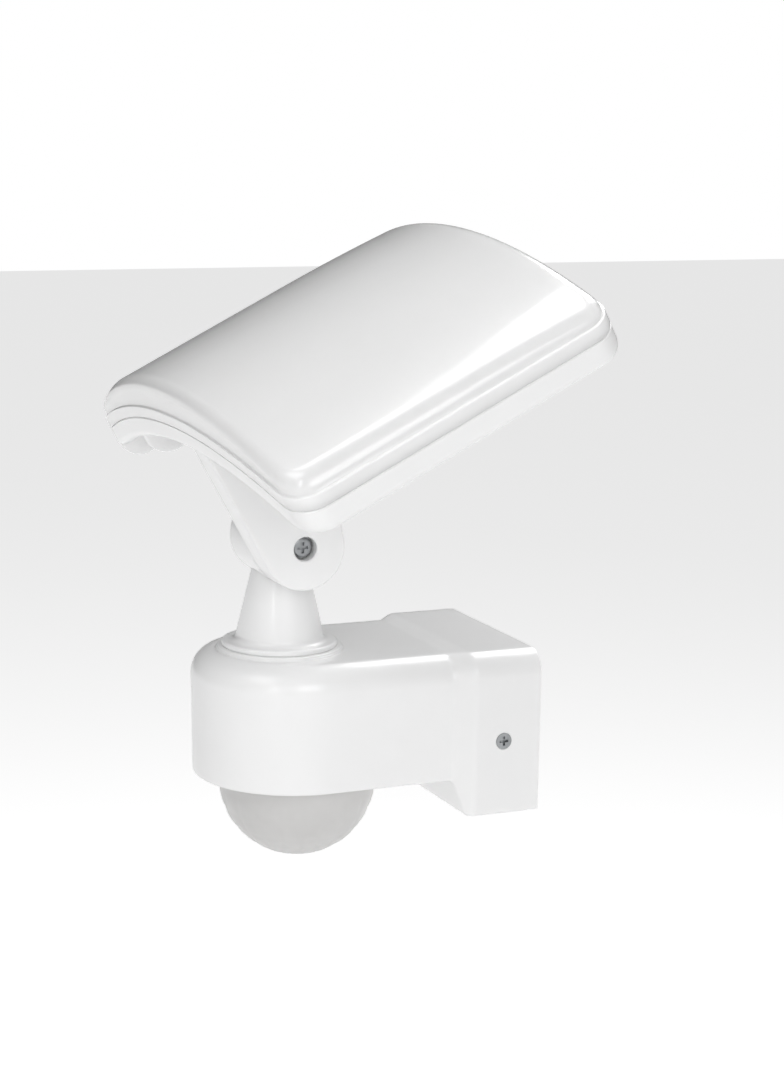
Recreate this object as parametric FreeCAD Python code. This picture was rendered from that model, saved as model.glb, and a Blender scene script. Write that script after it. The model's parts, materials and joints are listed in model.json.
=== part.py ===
"""Wall-mounted outdoor floodlight with a passive-infrared motion detector.

Frame: millimetres, +Z up. The origin is the middle of the two wall-screw holes on the wall plane,
+Y points into the wall, -Y points away from it, and X runs along the wall.
The head is designed lying flat, in its own frame: x across, y towards the head's back end,
z out through the diffuser, with its origin on the tilt axis. It is then tilted into place.
"""
import FreeCAD, Part
import math
import os

Vector = FreeCAD.Vector

# ---------------------------------------------------------------- driving dimensions, in millimetres
WALL = 2.4                      # moulded wall thickness of the housing
BOX_HALF_WIDTH = 39.0           # wall box: 78 wide
BOX_HALF_HEIGHT = 27.9          # and 55.8 high
BOX_DEPTH = 24.2                # depth at which its sides start to run in to the arm
BOX_FOOT_DEPTH = 26.5           # depth of its lower front edge
BOX_TOP_RADIUS = 8.2
FOOT_RADIUS = 1.0
ARM_START = 30.2                # depth at which the arm has its own section
ARM_HALF_WIDTH_LOW = 33.9       # the arm is drafted, wider at the top
ARM_HALF_WIDTH_TOP = 34.7
ARM_BOTTOM = -16.1
ARM_TOP = 26.9
ARM_TOP_RADIUS = 8.8
ARM_ROUND_Y = -75.4             # centre of the arm's half-round front
PARTITION_Y = -26.0             # wall between the wiring box and the electronics
PARTITION_THICKNESS = 1.8

STEM_Y = -80.2                  # swivel axis, vertical
SEAT_RADIUS = 21.3              # raised disc that the stem turns on
SEAT_TOP = ARM_TOP + 1.3
FLANGE_RADIUS = 19.65
FLANGE_THICKNESS = 1.9
CONE_FOOT_RADIUS = 14.7
CONE_TOP_RADIUS = 10.0
CONE_HEIGHT = 23.3
NECK_RADIUS = 11.0              # part of the stem that passes through the housing
NECK_BOTTOM = 11.5
STEM_BORE_RADIUS = 6.0
SEAL_OUTER = 14.4               # rubber ring under the stem's flange
SEAL_INNER = 12.4
SEAL_THICKNESS = 0.6
STEM_NUT_RADIUS = 14.5
STEM_NUT_LOW = 13.2
STEM_NUT_TOP = 18.6

PIVOT_Z = 65.1                  # tilt axis, along X above the stem
DRUM_RADIUS = 14.1
DRUM_FAR_X = -11.75
DRUM_NEAR_X = 9.2
LUG_NEAR_X = 9.6                # the head's single lug stands beside the drum
LUG_FAR_X = 22.8
PIVOT_SHANK_RADIUS = 2.0
PIVOT_RUNNING_GAP = 0.05
LUG_COUNTERBORE_RADIUS = 4.05
LUG_COUNTERBORE_DEPTH = 5.2

HEAD_TILT = 27.2                # degrees that the head leans forward at rest
HEAD_HALF_WIDTH = 95.0
HEAD_FRONT = -16.8
HEAD_BACK = 103.0
HEAD_CORNER = 10.0
SEAM_CREST = 52.9               # height of the shell-to-diffuser seam over the tilt axis
SEAM_ARCH = 262.0               # radius of that seam across the head
BAND = 8.1                      # depth of the shell below the seam
SHELL_WALL = 2.4
SHELL_EDGE_RADIUS = 3.2
DIFFUSER_CREST = 14.8           # height of the diffuser over the seam
DIFFUSER_ARCH = 212.0
DIFFUSER_FLANGE = 4.4
DIFFUSER_STEP = 1.0
DIFFUSER_WALL = 2.2
DIFFUSER_EDGE_RADIUS = 4.5
SEAL_DEPTH = 1.6
RIM_LEDGE = 4.5                 # inner width of the shell's rim under the seal

LENS_Y = -73.3                  # detector lens: a hanging dome
LENS_Z = -18.9
LENS_RADIUS = 27.0
LENS_WALL = 1.2
LENS_FLANGE_RADIUS = 29.0

COVER_THICKNESS = 2.4
COVER_INSET = 2.6
COVER_GAP = 0.15                # play round the cover in its opening
COVER_BACK = -33.2
COVER_CORNER = 1.5
DIAL_Y = -38.9
DIAL_X = 8.5
DIAL_RADIUS = 2.9
SIDE_SCREW_Y = -13.6
SIDE_SCREW_Z = -2.3
SIDE_SCREW_LENGTH = 9.0
WALL_SCREW_X = 25.0
WALL_SCREW_HOLE = 2.25
CABLE_Z = -14.0
CABLE_HOLE = 7.0
PLATE_THICKNESS = 3.4

SCREW_RADIUS = 1.5              # M3 fasteners
BOARD_THICKNESS = 1.6
BOSS_RADIUS = 3.0               # post that takes an M3 screw
PAN_HEAD_RADIUS = 2.8           # usual pan head of an M3 screw
PAN_HEAD_HEIGHT = 1.8
COUNTERSUNK_RADIUS = 2.8        # countersunk head of an M3 screw
SLOT_TO_HEAD = 0.28             # width of a cross recess's arm for its length


# ---------------------------------------------------------------- helpers
def rounded_edges(points, radii, place):
    """Edges of a closed polygon whose corners are rounded; place maps (a, b) to a Vector."""
    count = len(points)
    starts = []
    ends = []
    middles = []
    for i in range(count):
        corner = Vector(points[i][0], points[i][1], 0)
        before = Vector(*points[i - 1], 0) - corner
        after = Vector(*points[(i + 1) % count], 0) - corner
        before.normalize()
        after.normalize()
        half = before.getAngle(after) / 2
        reach = radii[i] / math.tan(half)
        bisector = before + after
        bisector.normalize()
        centre = corner + bisector * (radii[i] / math.sin(half))
        starts.append(corner + before * reach)
        ends.append(corner + after * reach)
        middles.append(centre - bisector * radii[i])
    edges = []
    for i in range(count):
        if radii[i] > 0:
            arc = Part.Arc(*[place(p.x, p.y) for p in (starts[i], middles[i], ends[i])])
            edges.append(arc.toShape())
        following = starts[(i + 1) % count]
        if (following - ends[i]).Length > 1e-6:
            line = Part.LineSegment(place(ends[i].x, ends[i].y), place(following.x, following.y))
            edges.append(line.toShape())
    return edges


def rounded_wire(points, radii, place):
    """Closed wire of rounded_edges."""
    return Part.Wire(rounded_edges(points, radii, place))


def plan_prism(points, radii, low, high):
    """Prism that stands on a rounded outline in the XY plane."""
    wire = rounded_wire(points, radii, lambda a, b: Vector(a, b, low))
    return Part.Face(wire).extrude(Vector(0, 0, high - low))


def side_prism(points, radii, x_low, x_high):
    """Prism along X from a rounded outline given as (y, z)."""
    wire = rounded_wire(points, radii, lambda a, b: Vector(x_low, a, b))
    return Part.Face(wire).extrude(Vector(x_high - x_low, 0, 0))


def turned(points, radii, x, y):
    """Solid of revolution about the vertical line through (x, y), from (radius, z) points."""
    wire = rounded_wire(points, radii, lambda a, b: Vector(x + a, y, b))
    return Part.Face(wire).revolve(Vector(x, y, 0), Vector(0, 0, 1), 360)


def box(x_low, x_high, y_low, y_high, z_low, z_high):
    """Axis-aligned block between two corners."""
    return Part.makeBox(x_high - x_low, y_high - y_low, z_high - z_low, Vector(x_low, y_low, z_low))


def rod(radius, start, end):
    """Cylinder between two points."""
    axis = Vector(*end) - Vector(*start)
    return Part.makeCylinder(radius, axis.Length, Vector(*start), axis)


def ring(outer, inner, start, end):
    """Tube between two points."""
    return rod(outer, start, end).cut(rod(inner, start, end))


def fused(shapes):
    """One shape from several, with the leftover seams between coplanar faces removed."""
    return shapes[0].multiFuse(shapes[1:]).removeSplitter()


def cross_recess(size, depth, top, axis):
    """Cutter for a cross-head recess whose mouth is centred on top; axis points out of it."""
    outward = Vector(*axis)
    width = size * SLOT_TO_HEAD
    arm_a = Part.makeBox(size, width, depth, Vector(-size / 2, -width / 2, -depth))
    arm_b = Part.makeBox(width, size, depth, Vector(-width / 2, -size / 2, -depth))
    cutter = arm_a.fuse(arm_b)
    cutter.Placement = FreeCAD.Placement(Vector(*top), FreeCAD.Rotation(Vector(0, 0, 1), outward))
    return cutter


def pan_screw(head_radius, head_height, shank_radius, length, seat, axis):
    """Pan-head screw; seat is under the head and axis points out of the head."""
    up = Vector(*axis)
    origin = Vector(0, 0, 0)
    head = Part.makeCylinder(head_radius, head_height, origin, Vector(0, 0, 1))
    head = head.makeFillet(head_height * 0.45, [head.Edges[0]])
    shank = Part.makeCylinder(shank_radius, length, origin, Vector(0, 0, -1))
    recess = cross_recess(head_radius * 1.1, head_height * 0.6, (0, 0, head_height), (0, 0, 1))
    screw = head.fuse(shank).removeSplitter().cut(recess)
    screw.Placement = FreeCAD.Placement(Vector(*seat), FreeCAD.Rotation(Vector(0, 0, 1), up))
    return screw


def countersunk_screw(head_radius, shank_radius, length, top, axis):
    """Countersunk screw whose flat top lies at top; axis points out of the head."""
    cone_height = head_radius - shank_radius
    head = Part.makeCone(shank_radius, head_radius, cone_height, Vector(0, 0, -cone_height))
    shank = Part.makeCylinder(shank_radius, length, Vector(0, 0, -length))
    recess = cross_recess(head_radius * 1.15, cone_height * 0.8, (0, 0, 0), (0, 0, 1))
    screw = head.fuse(shank).removeSplitter().cut(recess)
    screw.Placement = FreeCAD.Placement(Vector(*top), FreeCAD.Rotation(Vector(0, 0, 1), Vector(*axis)))
    return screw


# ---------------------------------------------------------------- housing on the wall
def housing_section(y, half_low, half_top, bottom, top, radius_top, radius_low):
    """Upright cross-section of the housing at depth y."""
    points = [(-half_low, bottom), (half_low, bottom), (half_top, top), (-half_top, top)]
    radii = [radius_low, radius_low, radius_top, radius_top]
    return rounded_wire(points, radii, lambda a, b: Vector(a, y, b))


def housing_body(inset, back_y):
    """The outer form of wall box and arm, drawn in by inset on every side."""
    top_radius = BOX_TOP_RADIUS - inset
    low_radius = max(FOOT_RADIUS - inset, 0.2)
    box_wide = BOX_HALF_WIDTH - inset
    box_low = -BOX_HALF_HEIGHT + inset
    box_top = BOX_HALF_HEIGHT - inset
    half_low = ARM_HALF_WIDTH_LOW - inset
    half_top = ARM_HALF_WIDTH_TOP - inset
    arm_low = ARM_BOTTOM + inset
    arm_top = ARM_TOP - inset
    arm_radius = ARM_TOP_RADIUS - inset
    foot_share = (BOX_FOOT_DEPTH - BOX_DEPTH) / (ARM_START - BOX_DEPTH)
    foot_wide = box_wide + (half_top - box_wide) * foot_share
    foot_top = box_top + (arm_top - box_top) * foot_share

    def box_section(y):
        return housing_section(y, box_wide, box_wide, box_low, box_top, top_radius, low_radius)

    def arm_section(y):
        return housing_section(y, half_low, half_top, arm_low, arm_top, arm_radius, low_radius)

    foot = housing_section(-BOX_FOOT_DEPTH + inset, foot_wide, foot_wide, box_low, foot_top,
                           top_radius, low_radius)
    wall_box = Part.Face(box_section(back_y)).extrude(Vector(0, -BOX_DEPTH + inset - back_y, 0))
    shoulder = Part.makeLoft([box_section(-BOX_DEPTH + inset), foot, arm_section(-ARM_START)], True, True)
    arm = Part.Face(arm_section(-ARM_START)).extrude(Vector(0, ARM_ROUND_Y + ARM_START, 0))
    outline = [(0, arm_low), (half_low, arm_low), (half_top, arm_top), (0, arm_top)]
    half = rounded_wire(outline, [0, low_radius, arm_radius, 0], lambda a, b: Vector(a, ARM_ROUND_Y, b))
    front = Part.Face(half).revolve(Vector(0, ARM_ROUND_Y, 0), Vector(0, 0, 1), -180)
    return fused([wall_box, shoulder, arm, front])


def cover_outline(inset):
    """Corners and radii of the arm's underside opening, drawn in by inset."""
    half = ARM_HALF_WIDTH_LOW - inset
    back = COVER_BACK - (inset - COVER_INSET)
    front = ARM_ROUND_Y - half
    points = [(-half, back), (-half, front), (half, front), (half, back)]
    round_end = half - 0.01
    return points, [COVER_CORNER, round_end, round_end, COVER_CORNER]


TERMINAL_X = [-8.0, 0.0, 8.0]
LEAD_Z = 3.5                    # height of the supply leads
COVER_SCREWS = [(-27.9, -38.0), (27.9, -38.0)]
BOARD_POSTS = [(-25.5, -36.5), (25.5, -36.5), (-25.5, -58.5), (25.5, -58.5)]
BOARD_TOP = 2.6
SINK_RADIUS = 3.0               # mouth of the side screws' countersinks
SINK_DEPTH = 1.4
COVER_BOSS_RADIUS = 3.9
LEAD_HOLE_RADIUS = 1.5


def make_housing():
    """Shell of wall box and arm, with the stem's seat, screw bosses and inner partition."""
    shell = housing_body(0, 0)
    seat = turned([(0, ARM_TOP - 1), (SEAT_RADIUS, ARM_TOP - 1), (SEAT_RADIUS, SEAT_TOP), (0, SEAT_TOP)],
                  [0, 0, 0.7, 0], 0, STEM_Y)
    shell = fused([shell, seat])
    cavity = housing_body(WALL, 5)
    partition = box(-50, 50, PARTITION_Y - PARTITION_THICKNESS, PARTITION_Y, -40, 40)
    shell = shell.cut(cavity.cut(partition))
    opening, radii = cover_outline(COVER_INSET - COVER_GAP)
    shell = shell.cut(plan_prism(opening, radii, ARM_BOTTOM - 1, ARM_BOTTOM + WALL + 0.5))
    bosses = []
    for x, y in COVER_SCREWS:
        bosses.append(rod(COVER_BOSS_RADIUS, (x, y, ARM_BOTTOM + COVER_THICKNESS), (x, y, -5)))
    for x, y in BOARD_POSTS:
        bosses.append(rod(BOSS_RADIUS, (x, y, BOARD_TOP), (x, y, ARM_TOP - WALL + 0.5)))
    inside = housing_body(0.5, 0)
    shell = fused([shell] + [boss.common(inside) for boss in bosses])
    holes = [rod(NECK_RADIUS + PIVOT_RUNNING_GAP, (0, STEM_Y, 10), (0, STEM_Y, 40))]
    for x in TERMINAL_X:
        holes.append(rod(LEAD_HOLE_RADIUS, (x, PARTITION_Y - 5, LEAD_Z), (x, PARTITION_Y + 3, LEAD_Z)))
    for x, y in COVER_SCREWS:
        holes.append(rod(SCREW_RADIUS, (x, y, -20), (x, y, -6.5)))
    for x, y in BOARD_POSTS:
        holes.append(rod(SCREW_RADIUS, (x, y, -1), (x, y, 12)))
    for side in (-1, 1):
        wall_x = side * (BOX_HALF_WIDTH + 0.01)
        start = (wall_x, SIDE_SCREW_Y, SIDE_SCREW_Z)
        holes.append(rod(SCREW_RADIUS, start, (side * 35, SIDE_SCREW_Y, SIDE_SCREW_Z)))
        holes.append(Part.makeCone(SINK_RADIUS, SCREW_RADIUS, SINK_DEPTH,
                                   Vector(*start), Vector(-side, 0, 0)))
    return shell.cut(Part.makeCompound(holes))


def make_housing_screws():
    """The two countersunk screws that hold the housing to its wall plate."""
    return [countersunk_screw(COUNTERSUNK_RADIUS, SCREW_RADIUS, SIDE_SCREW_LENGTH,
                              (side * BOX_HALF_WIDTH, SIDE_SCREW_Y, SIDE_SCREW_Z), (side, 0, 0))
            for side in (-1, 1)]


# ---------------------------------------------------------------- wall plate and wiring
PLATE_GAP = 0.3                 # play between wall plate and housing
PLATE_HALF_WIDTH = BOX_HALF_WIDTH - WALL - PLATE_GAP
PLATE_HALF_HEIGHT = BOX_HALF_HEIGHT - WALL - PLATE_GAP
PLATE_CORNER = 0.5
BLOCK_INNER_X = 29.5            # side blocks that take the housing screws
BLOCK_FRONT = -18.2
BLOCK_BACK = -2.0
BLOCK_HALF_HEIGHT = 4.0
GASKET_WIDTH = 3.5
GASKET_THICKNESS = 1.6


def plate_prism(inset, y_low, y_high):
    """Block with the wall plate's outline, drawn in by inset."""
    wide = PLATE_HALF_WIDTH - inset
    high = PLATE_HALF_HEIGHT - inset
    points = [(-wide, -high), (wide, -high), (wide, high), (-wide, high)]
    top_radius = BOX_TOP_RADIUS - WALL - PLATE_GAP - inset * 0.8
    radii = [PLATE_CORNER, PLATE_CORNER, top_radius, top_radius]
    wire = rounded_wire(points, radii, lambda a, b: Vector(a, y_low, b))
    return Part.Face(wire).extrude(Vector(0, y_high - y_low, 0))


def gasket_ring(thickness):
    """Frame that lies in the back of the wall plate, against the wall."""
    return plate_prism(0, -thickness, 0).cut(plate_prism(GASKET_WIDTH, -thickness - 1, 1))


def make_wall_plate():
    """Plate screwed to the wall, with side blocks that take the housing screws."""
    plate = plate_prism(0, -PLATE_THICKNESS, 0)
    blocks = []
    for side in (-1, 1):
        near, far = sorted((side * BLOCK_INNER_X, side * PLATE_HALF_WIDTH))
        blocks.append(box(near, far, BLOCK_FRONT, BLOCK_BACK,
                          SIDE_SCREW_Z - BLOCK_HALF_HEIGHT, SIDE_SCREW_Z + BLOCK_HALF_HEIGHT))
    plate = fused([plate] + blocks)
    holes = [gasket_ring(GASKET_THICKNESS)]
    for side in (-1, 1):
        x = side * WALL_SCREW_X
        holes.append(rod(WALL_SCREW_HOLE, (x, -10, 0), (x, 5, 0)))
        holes.append(rod(SCREW_RADIUS, (side * 29, SIDE_SCREW_Y, SIDE_SCREW_Z),
                         (side * 40, SIDE_SCREW_Y, SIDE_SCREW_Z)))
    holes.append(rod(CABLE_HOLE, (0, -10, CABLE_Z), (0, 5, CABLE_Z)))
    return plate.cut(Part.makeCompound(holes))


CABLE_BORE = 3.75
GROMMET_FLANGE_RADIUS = CABLE_HOLE + 1.8
GROMMET_FLANGE_FRONT = -PLATE_THICKNESS - 1.4
GROMMET_NOSE_RADIUS = 5.6
GROMMET_NOSE_FRONT = GROMMET_FLANGE_FRONT - 3.0


def make_cable_grommet():
    """Rubber grommet in the wall plate, bored for the supply cable."""
    flange = rod(GROMMET_FLANGE_RADIUS, (0, GROMMET_FLANGE_FRONT, CABLE_Z), (0, -PLATE_THICKNESS, CABLE_Z))
    nose = rod(GROMMET_NOSE_RADIUS, (0, GROMMET_NOSE_FRONT, CABLE_Z), (0, GROMMET_FLANGE_FRONT, CABLE_Z))
    body = rod(CABLE_HOLE, (0, -PLATE_THICKNESS, CABLE_Z), (0, 0, CABLE_Z))
    bore = rod(CABLE_BORE, (0, -12, CABLE_Z), (0, 2, CABLE_Z))
    return fused([flange, nose, body]).cut(bore)


TERMINAL_FRONT = -19.0
TERMINAL_LOW = -1.5
TERMINAL_TOP = 10.5
TERMINAL_HALF_WIDTH = 12.5
CLAMP_SCREW_Y = -11.5
CLAMP_SCREW_RADIUS = 1.85
CLAMP_SCREW_LOW = 6.0
CLAMP_SLOT_HALF = 0.4
WIRE_HOLE_RADIUS = 1.6
LEAD_RADIUS = 0.85


def make_terminal_block():
    """Three-way screw terminal on the wall plate."""
    block = box(-TERMINAL_HALF_WIDTH, TERMINAL_HALF_WIDTH, TERMINAL_FRONT, -PLATE_THICKNESS,
                TERMINAL_LOW, TERMINAL_TOP)
    cuts = []
    for x in TERMINAL_X:
        cuts.append(rod(WIRE_HOLE_RADIUS, (x, TERMINAL_FRONT - 1, LEAD_Z), (x, -6, LEAD_Z)))
        cuts.append(rod(CLAMP_SCREW_RADIUS + 0.05, (x, CLAMP_SCREW_Y, LEAD_Z),
                        (x, CLAMP_SCREW_Y, TERMINAL_TOP + 1)))
        cuts.append(rod(WIRE_HOLE_RADIUS, (x, -8, TERMINAL_LOW - 1), (x, -8, LEAD_Z)))
    return block.cut(Part.makeCompound(cuts))


def make_terminal_screws():
    """Slotted clamp screws of the terminal."""
    screws = []
    for x in TERMINAL_X:
        body = rod(CLAMP_SCREW_RADIUS, (x, CLAMP_SCREW_Y, CLAMP_SCREW_LOW),
                   (x, CLAMP_SCREW_Y, TERMINAL_TOP - 0.8))
        slot = box(x - 2.5, x + 2.5, CLAMP_SCREW_Y - CLAMP_SLOT_HALF, CLAMP_SCREW_Y + CLAMP_SLOT_HALF,
                   TERMINAL_TOP - 1.7, TERMINAL_TOP)
        screws.append(body.cut(slot))
    return screws


def make_supply_leads():
    """Leads from the terminal to the driver board, through the partition."""
    return [rod(LEAD_RADIUS, (x, TERMINAL_FRONT + 4, LEAD_Z), (x, -34, LEAD_Z)) for x in TERMINAL_X]


# ---------------------------------------------------------------- electronics in the arm
DRIVER_HALF_WIDTH = 29.0
DRIVER_FRONT = -62.0
DRIVER_BACK = -32.5
CORE_X = (-7.0, 11.0)           # transformer core, and its window inside it
CORE_Y = (-58.0, -42.0)
CORE_HEIGHT = 14.0
CORE_LIMB = 3.0
BOBBIN_GAP = 0.1
CAPACITORS = [(-16.0, -49.0, 5.0, 17.0), (-13.0, -38.0, 4.0, 12.0)]      # x, y, radius, height
RELAY = (13.5, 23.5, -55.0, -41.0, 15.0)                                 # x and y ranges, height
FILM_CORNERS = [(5, -40), (18, -40), (18, -34.5), (5, -34.5)]
FILM_HEIGHT = 11.0
FUSE = (-20.5, -42.5, 2.2, 7.0)                                          # x, y, radius, height


def upright(x, y, radius, height):
    """Round component that stands on the driver board."""
    return rod(radius, (x, y, BOARD_TOP), (x, y, BOARD_TOP + height))


def make_driver_board():
    """Circuit board that turns mains into the light's low voltage."""
    board = box(-DRIVER_HALF_WIDTH, DRIVER_HALF_WIDTH, DRIVER_FRONT, DRIVER_BACK,
                BOARD_TOP - BOARD_THICKNESS, BOARD_TOP)
    return board.cut(Part.makeCompound([rod(SCREW_RADIUS, (x, y, 0), (x, y, 4)) for x, y in BOARD_POSTS]))


def make_driver_screws():
    """Screws that hold the driver board to the housing's posts."""
    seat = BOARD_TOP - BOARD_THICKNESS
    return [pan_screw(PAN_HEAD_RADIUS, PAN_HEAD_HEIGHT, SCREW_RADIUS, 8, (x, y, seat), (0, 0, -1))
            for x, y in BOARD_POSTS]


def make_transformer():
    """Ferrite transformer: two core halves round a wound bobbin."""
    top = BOARD_TOP + CORE_HEIGHT
    core = box(*CORE_X, *CORE_Y, BOARD_TOP, top)
    left, right = CORE_X[0] + CORE_LIMB + 1, CORE_X[1] - CORE_LIMB - 1
    low, high = BOARD_TOP + CORE_LIMB, top - CORE_LIMB
    window = box(left, right, CORE_Y[0] - 2, CORE_Y[1] + 2, low, high)
    middle = ((left + right) / 2, (low + high) / 2)
    start, end = CORE_Y[0] + 1, CORE_Y[1] - 1
    winding = rod(4.6, (middle[0], start, middle[1]), (middle[0], end, middle[1]))
    room = box(left + BOBBIN_GAP, right - BOBBIN_GAP, start, end, low + BOBBIN_GAP, high - BOBBIN_GAP)
    return [core.cut(window), winding.common(room)]


def make_capacitors():
    """Two electrolytic smoothing capacitors."""
    return [upright(*sizes) for sizes in CAPACITORS]


def make_relay():
    """Relay that switches the light."""
    return box(*RELAY[:4], BOARD_TOP, BOARD_TOP + RELAY[4])


def make_film_capacitor():
    """Film capacitor across the supply."""
    return plan_prism(FILM_CORNERS, [0.8] * 4, BOARD_TOP, BOARD_TOP + FILM_HEIGHT)


def make_fuse():
    """Small drum fuse."""
    return upright(*FUSE)


SENSOR_BOARD_LOW = -9.4
SENSOR_BOARD_RADIUS = 23.0
SENSOR_RADIUS = 4.6             # the detector's metal can
SENSOR_HEIGHT = 4.2
SENSOR_RIM = 0.5
WINDOW_HALF_WIDTH = 2.0
WINDOW_HALF_DEPTH = 1.5
WINDOW_TOP = SENSOR_BOARD_LOW - 3.8
LIGHT_SENSOR = (11.0, -9.0)     # beside the detector, seen from its middle
LIGHT_SENSOR_RADIUS = 2.5
PIN_XS = (-4, -2, 0, 2, 4)
PIN_RADIUS = 0.5
PIN_Y = -58.0


def make_sensor_board():
    """Round board above the lens that carries the detector."""
    return rod(SENSOR_BOARD_RADIUS, (0, LENS_Y, SENSOR_BOARD_LOW),
               (0, LENS_Y, SENSOR_BOARD_LOW + BOARD_THICKNESS))


def make_pir_sensor():
    """Metal can of the infrared detector, looking down into the lens."""
    can = rod(SENSOR_RADIUS, (0, LENS_Y, SENSOR_BOARD_LOW - SENSOR_HEIGHT), (0, LENS_Y, SENSOR_BOARD_LOW))
    rim = rod(SENSOR_RADIUS + SENSOR_RIM, (0, LENS_Y, SENSOR_BOARD_LOW - 0.6),
              (0, LENS_Y, SENSOR_BOARD_LOW))
    window = box(-WINDOW_HALF_WIDTH, WINDOW_HALF_WIDTH, LENS_Y - WINDOW_HALF_DEPTH,
                 LENS_Y + WINDOW_HALF_DEPTH, SENSOR_BOARD_LOW - SENSOR_HEIGHT - 1, WINDOW_TOP)
    return fused([can, rim]).cut(window)


def make_pir_window():
    """Filter window of the infrared detector."""
    low = SENSOR_BOARD_LOW - SENSOR_HEIGHT + 0.05
    return box(-WINDOW_HALF_WIDTH, WINDOW_HALF_WIDTH, LENS_Y - WINDOW_HALF_DEPTH,
               LENS_Y + WINDOW_HALF_DEPTH, low, WINDOW_TOP)


def make_light_sensor():
    """Light-dependent resistor that senses dusk."""
    x, y = LIGHT_SENSOR[0], LENS_Y + LIGHT_SENSOR[1]
    return rod(LIGHT_SENSOR_RADIUS, (x, y, SENSOR_BOARD_LOW - 2), (x, y, SENSOR_BOARD_LOW))


def make_sensor_leads():
    """Pins between the detector board and the driver board."""
    low = SENSOR_BOARD_LOW + BOARD_THICKNESS
    return [rod(PIN_RADIUS, (x, PIN_Y, low), (x, PIN_Y, BOARD_TOP - BOARD_THICKNESS)) for x in PIN_XS]


# ---------------------------------------------------------------- lens, its fixing and the underside
COVER_TOP = ARM_BOTTOM + COVER_THICKNESS
LENS_FLANGE_TOP = COVER_TOP + 1.2
RETAINER_TOP = COVER_TOP + 2.8
RETAINER_MIDDLE_RADIUS = 23.6   # where the clamping ring meets the board's rim
RETAINER_INNER_RADIUS = 21.0
RETAINER_EAR_RADIUS = 3.4
LENS_RING_DROP = 1.2
LENS_RING_WIDTH = 0.8


def make_lens_dome():
    """Faceted-inside detector lens: a thin hemisphere with a flange."""
    low_outer = Part.makeSphere(LENS_RADIUS, Vector(0, LENS_Y, LENS_Z))
    low_inner = Part.makeSphere(LENS_RADIUS - LENS_WALL, Vector(0, LENS_Y, LENS_Z))
    below = rod(LENS_RADIUS + 1, (0, LENS_Y, LENS_Z - 40), (0, LENS_Y, LENS_Z))
    skirt = rod(LENS_RADIUS, (0, LENS_Y, LENS_Z), (0, LENS_Y, LENS_FLANGE_TOP))
    flange = rod(LENS_FLANGE_RADIUS, (0, LENS_Y, COVER_TOP), (0, LENS_Y, LENS_FLANGE_TOP))
    bore = rod(LENS_RADIUS - LENS_WALL, (0, LENS_Y, LENS_Z), (0, LENS_Y, COVER_TOP + 2))
    return fused([low_outer.common(below), skirt, flange]).cut(low_inner).cut(bore)


def make_lens_ring():
    """Trim ring round the root of the lens."""
    outer = LENS_RADIUS + LENS_RING_WIDTH
    low = ARM_BOTTOM - LENS_RING_DROP
    points = [(LENS_RADIUS, low), (outer, low), (outer, ARM_BOTTOM), (LENS_RADIUS, ARM_BOTTOM)]
    return turned(points, [0, 0.3, 0, 0], 0, LENS_Y)


def retainer_screw_places():
    """Centres of the three retainer screws, outside the lens flange."""
    return [(0, -42.0), (-26.8, -58.3), (26.8, -58.3)]


def make_lens_retainer():
    """Ring that clamps the lens flange and carries the detector board."""
    clamp = ring(LENS_FLANGE_RADIUS, RETAINER_MIDDLE_RADIUS,
                 (0, LENS_Y, LENS_FLANGE_TOP), (0, LENS_Y, RETAINER_TOP))
    rim = ring(RETAINER_MIDDLE_RADIUS, RETAINER_INNER_RADIUS,
               (0, LENS_Y, LENS_FLANGE_TOP), (0, LENS_Y, SENSOR_BOARD_LOW))
    ears = []
    holes = []
    for x, y in retainer_screw_places():
        ears.append(rod(RETAINER_EAR_RADIUS, (x, y, LENS_FLANGE_TOP), (x, y, RETAINER_TOP)))
        holes.append(rod(SCREW_RADIUS, (x, y, COVER_TOP), (x, y, RETAINER_TOP + 1)))
    keep_out = rod(LENS_FLANGE_RADIUS - 1, (0, LENS_Y, COVER_TOP), (0, LENS_Y, RETAINER_TOP + 5))
    ears = [ear.cut(keep_out) for ear in ears]
    return fused([clamp, rim] + ears).cut(Part.makeCompound(holes))


def make_retainer_screws():
    """Screws of the lens retainer."""
    return [pan_screw(2.6, 1.6, SCREW_RADIUS, 3.8, (x, y, RETAINER_TOP), (0, 0, 1))
            for x, y in retainer_screw_places()]


def make_bottom_cover():
    """Plate that closes the arm from below, with the lens opening and the dial holes."""
    points, radii = cover_outline(COVER_INSET)
    cover = plan_prism(points, radii, ARM_BOTTOM, COVER_TOP)
    pads = []
    cuts = [rod(LENS_RADIUS + 0.15, (0, LENS_Y, -20), (0, LENS_Y, 0))]
    for x, y in retainer_screw_places():
        pads.append(rod(3.2, (x, y, COVER_TOP), (x, y, LENS_FLANGE_TOP)).cut(
            rod(LENS_FLANGE_RADIUS + 0.1, (0, LENS_Y, -20), (0, LENS_Y, 0))))
        cuts.append(rod(SCREW_RADIUS, (x, y, COVER_TOP - 1.6), (x, y, COVER_TOP + 2)))
    for side in (-1, 1):
        post_x = side * 17.0
        pads.append(rod(2.0, (post_x, DIAL_Y, COVER_TOP - 0.5), (post_x, DIAL_Y, TRIMMER_TOP)))
        cuts.append(rod(DIAL_RADIUS + 0.35, (side * DIAL_X, DIAL_Y, -20), (side * DIAL_X, DIAL_Y, -10)))
    for x, y in COVER_SCREWS:
        cuts.append(rod(SCREW_RADIUS, (x, y, -20), (x, y, 0)))
        cuts.append(rod(3.0, (x, y, ARM_BOTTOM - 1), (x, y, ARM_BOTTOM + 1.2)))
    return fused([cover] + pads).cut(Part.makeCompound(cuts))


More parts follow.
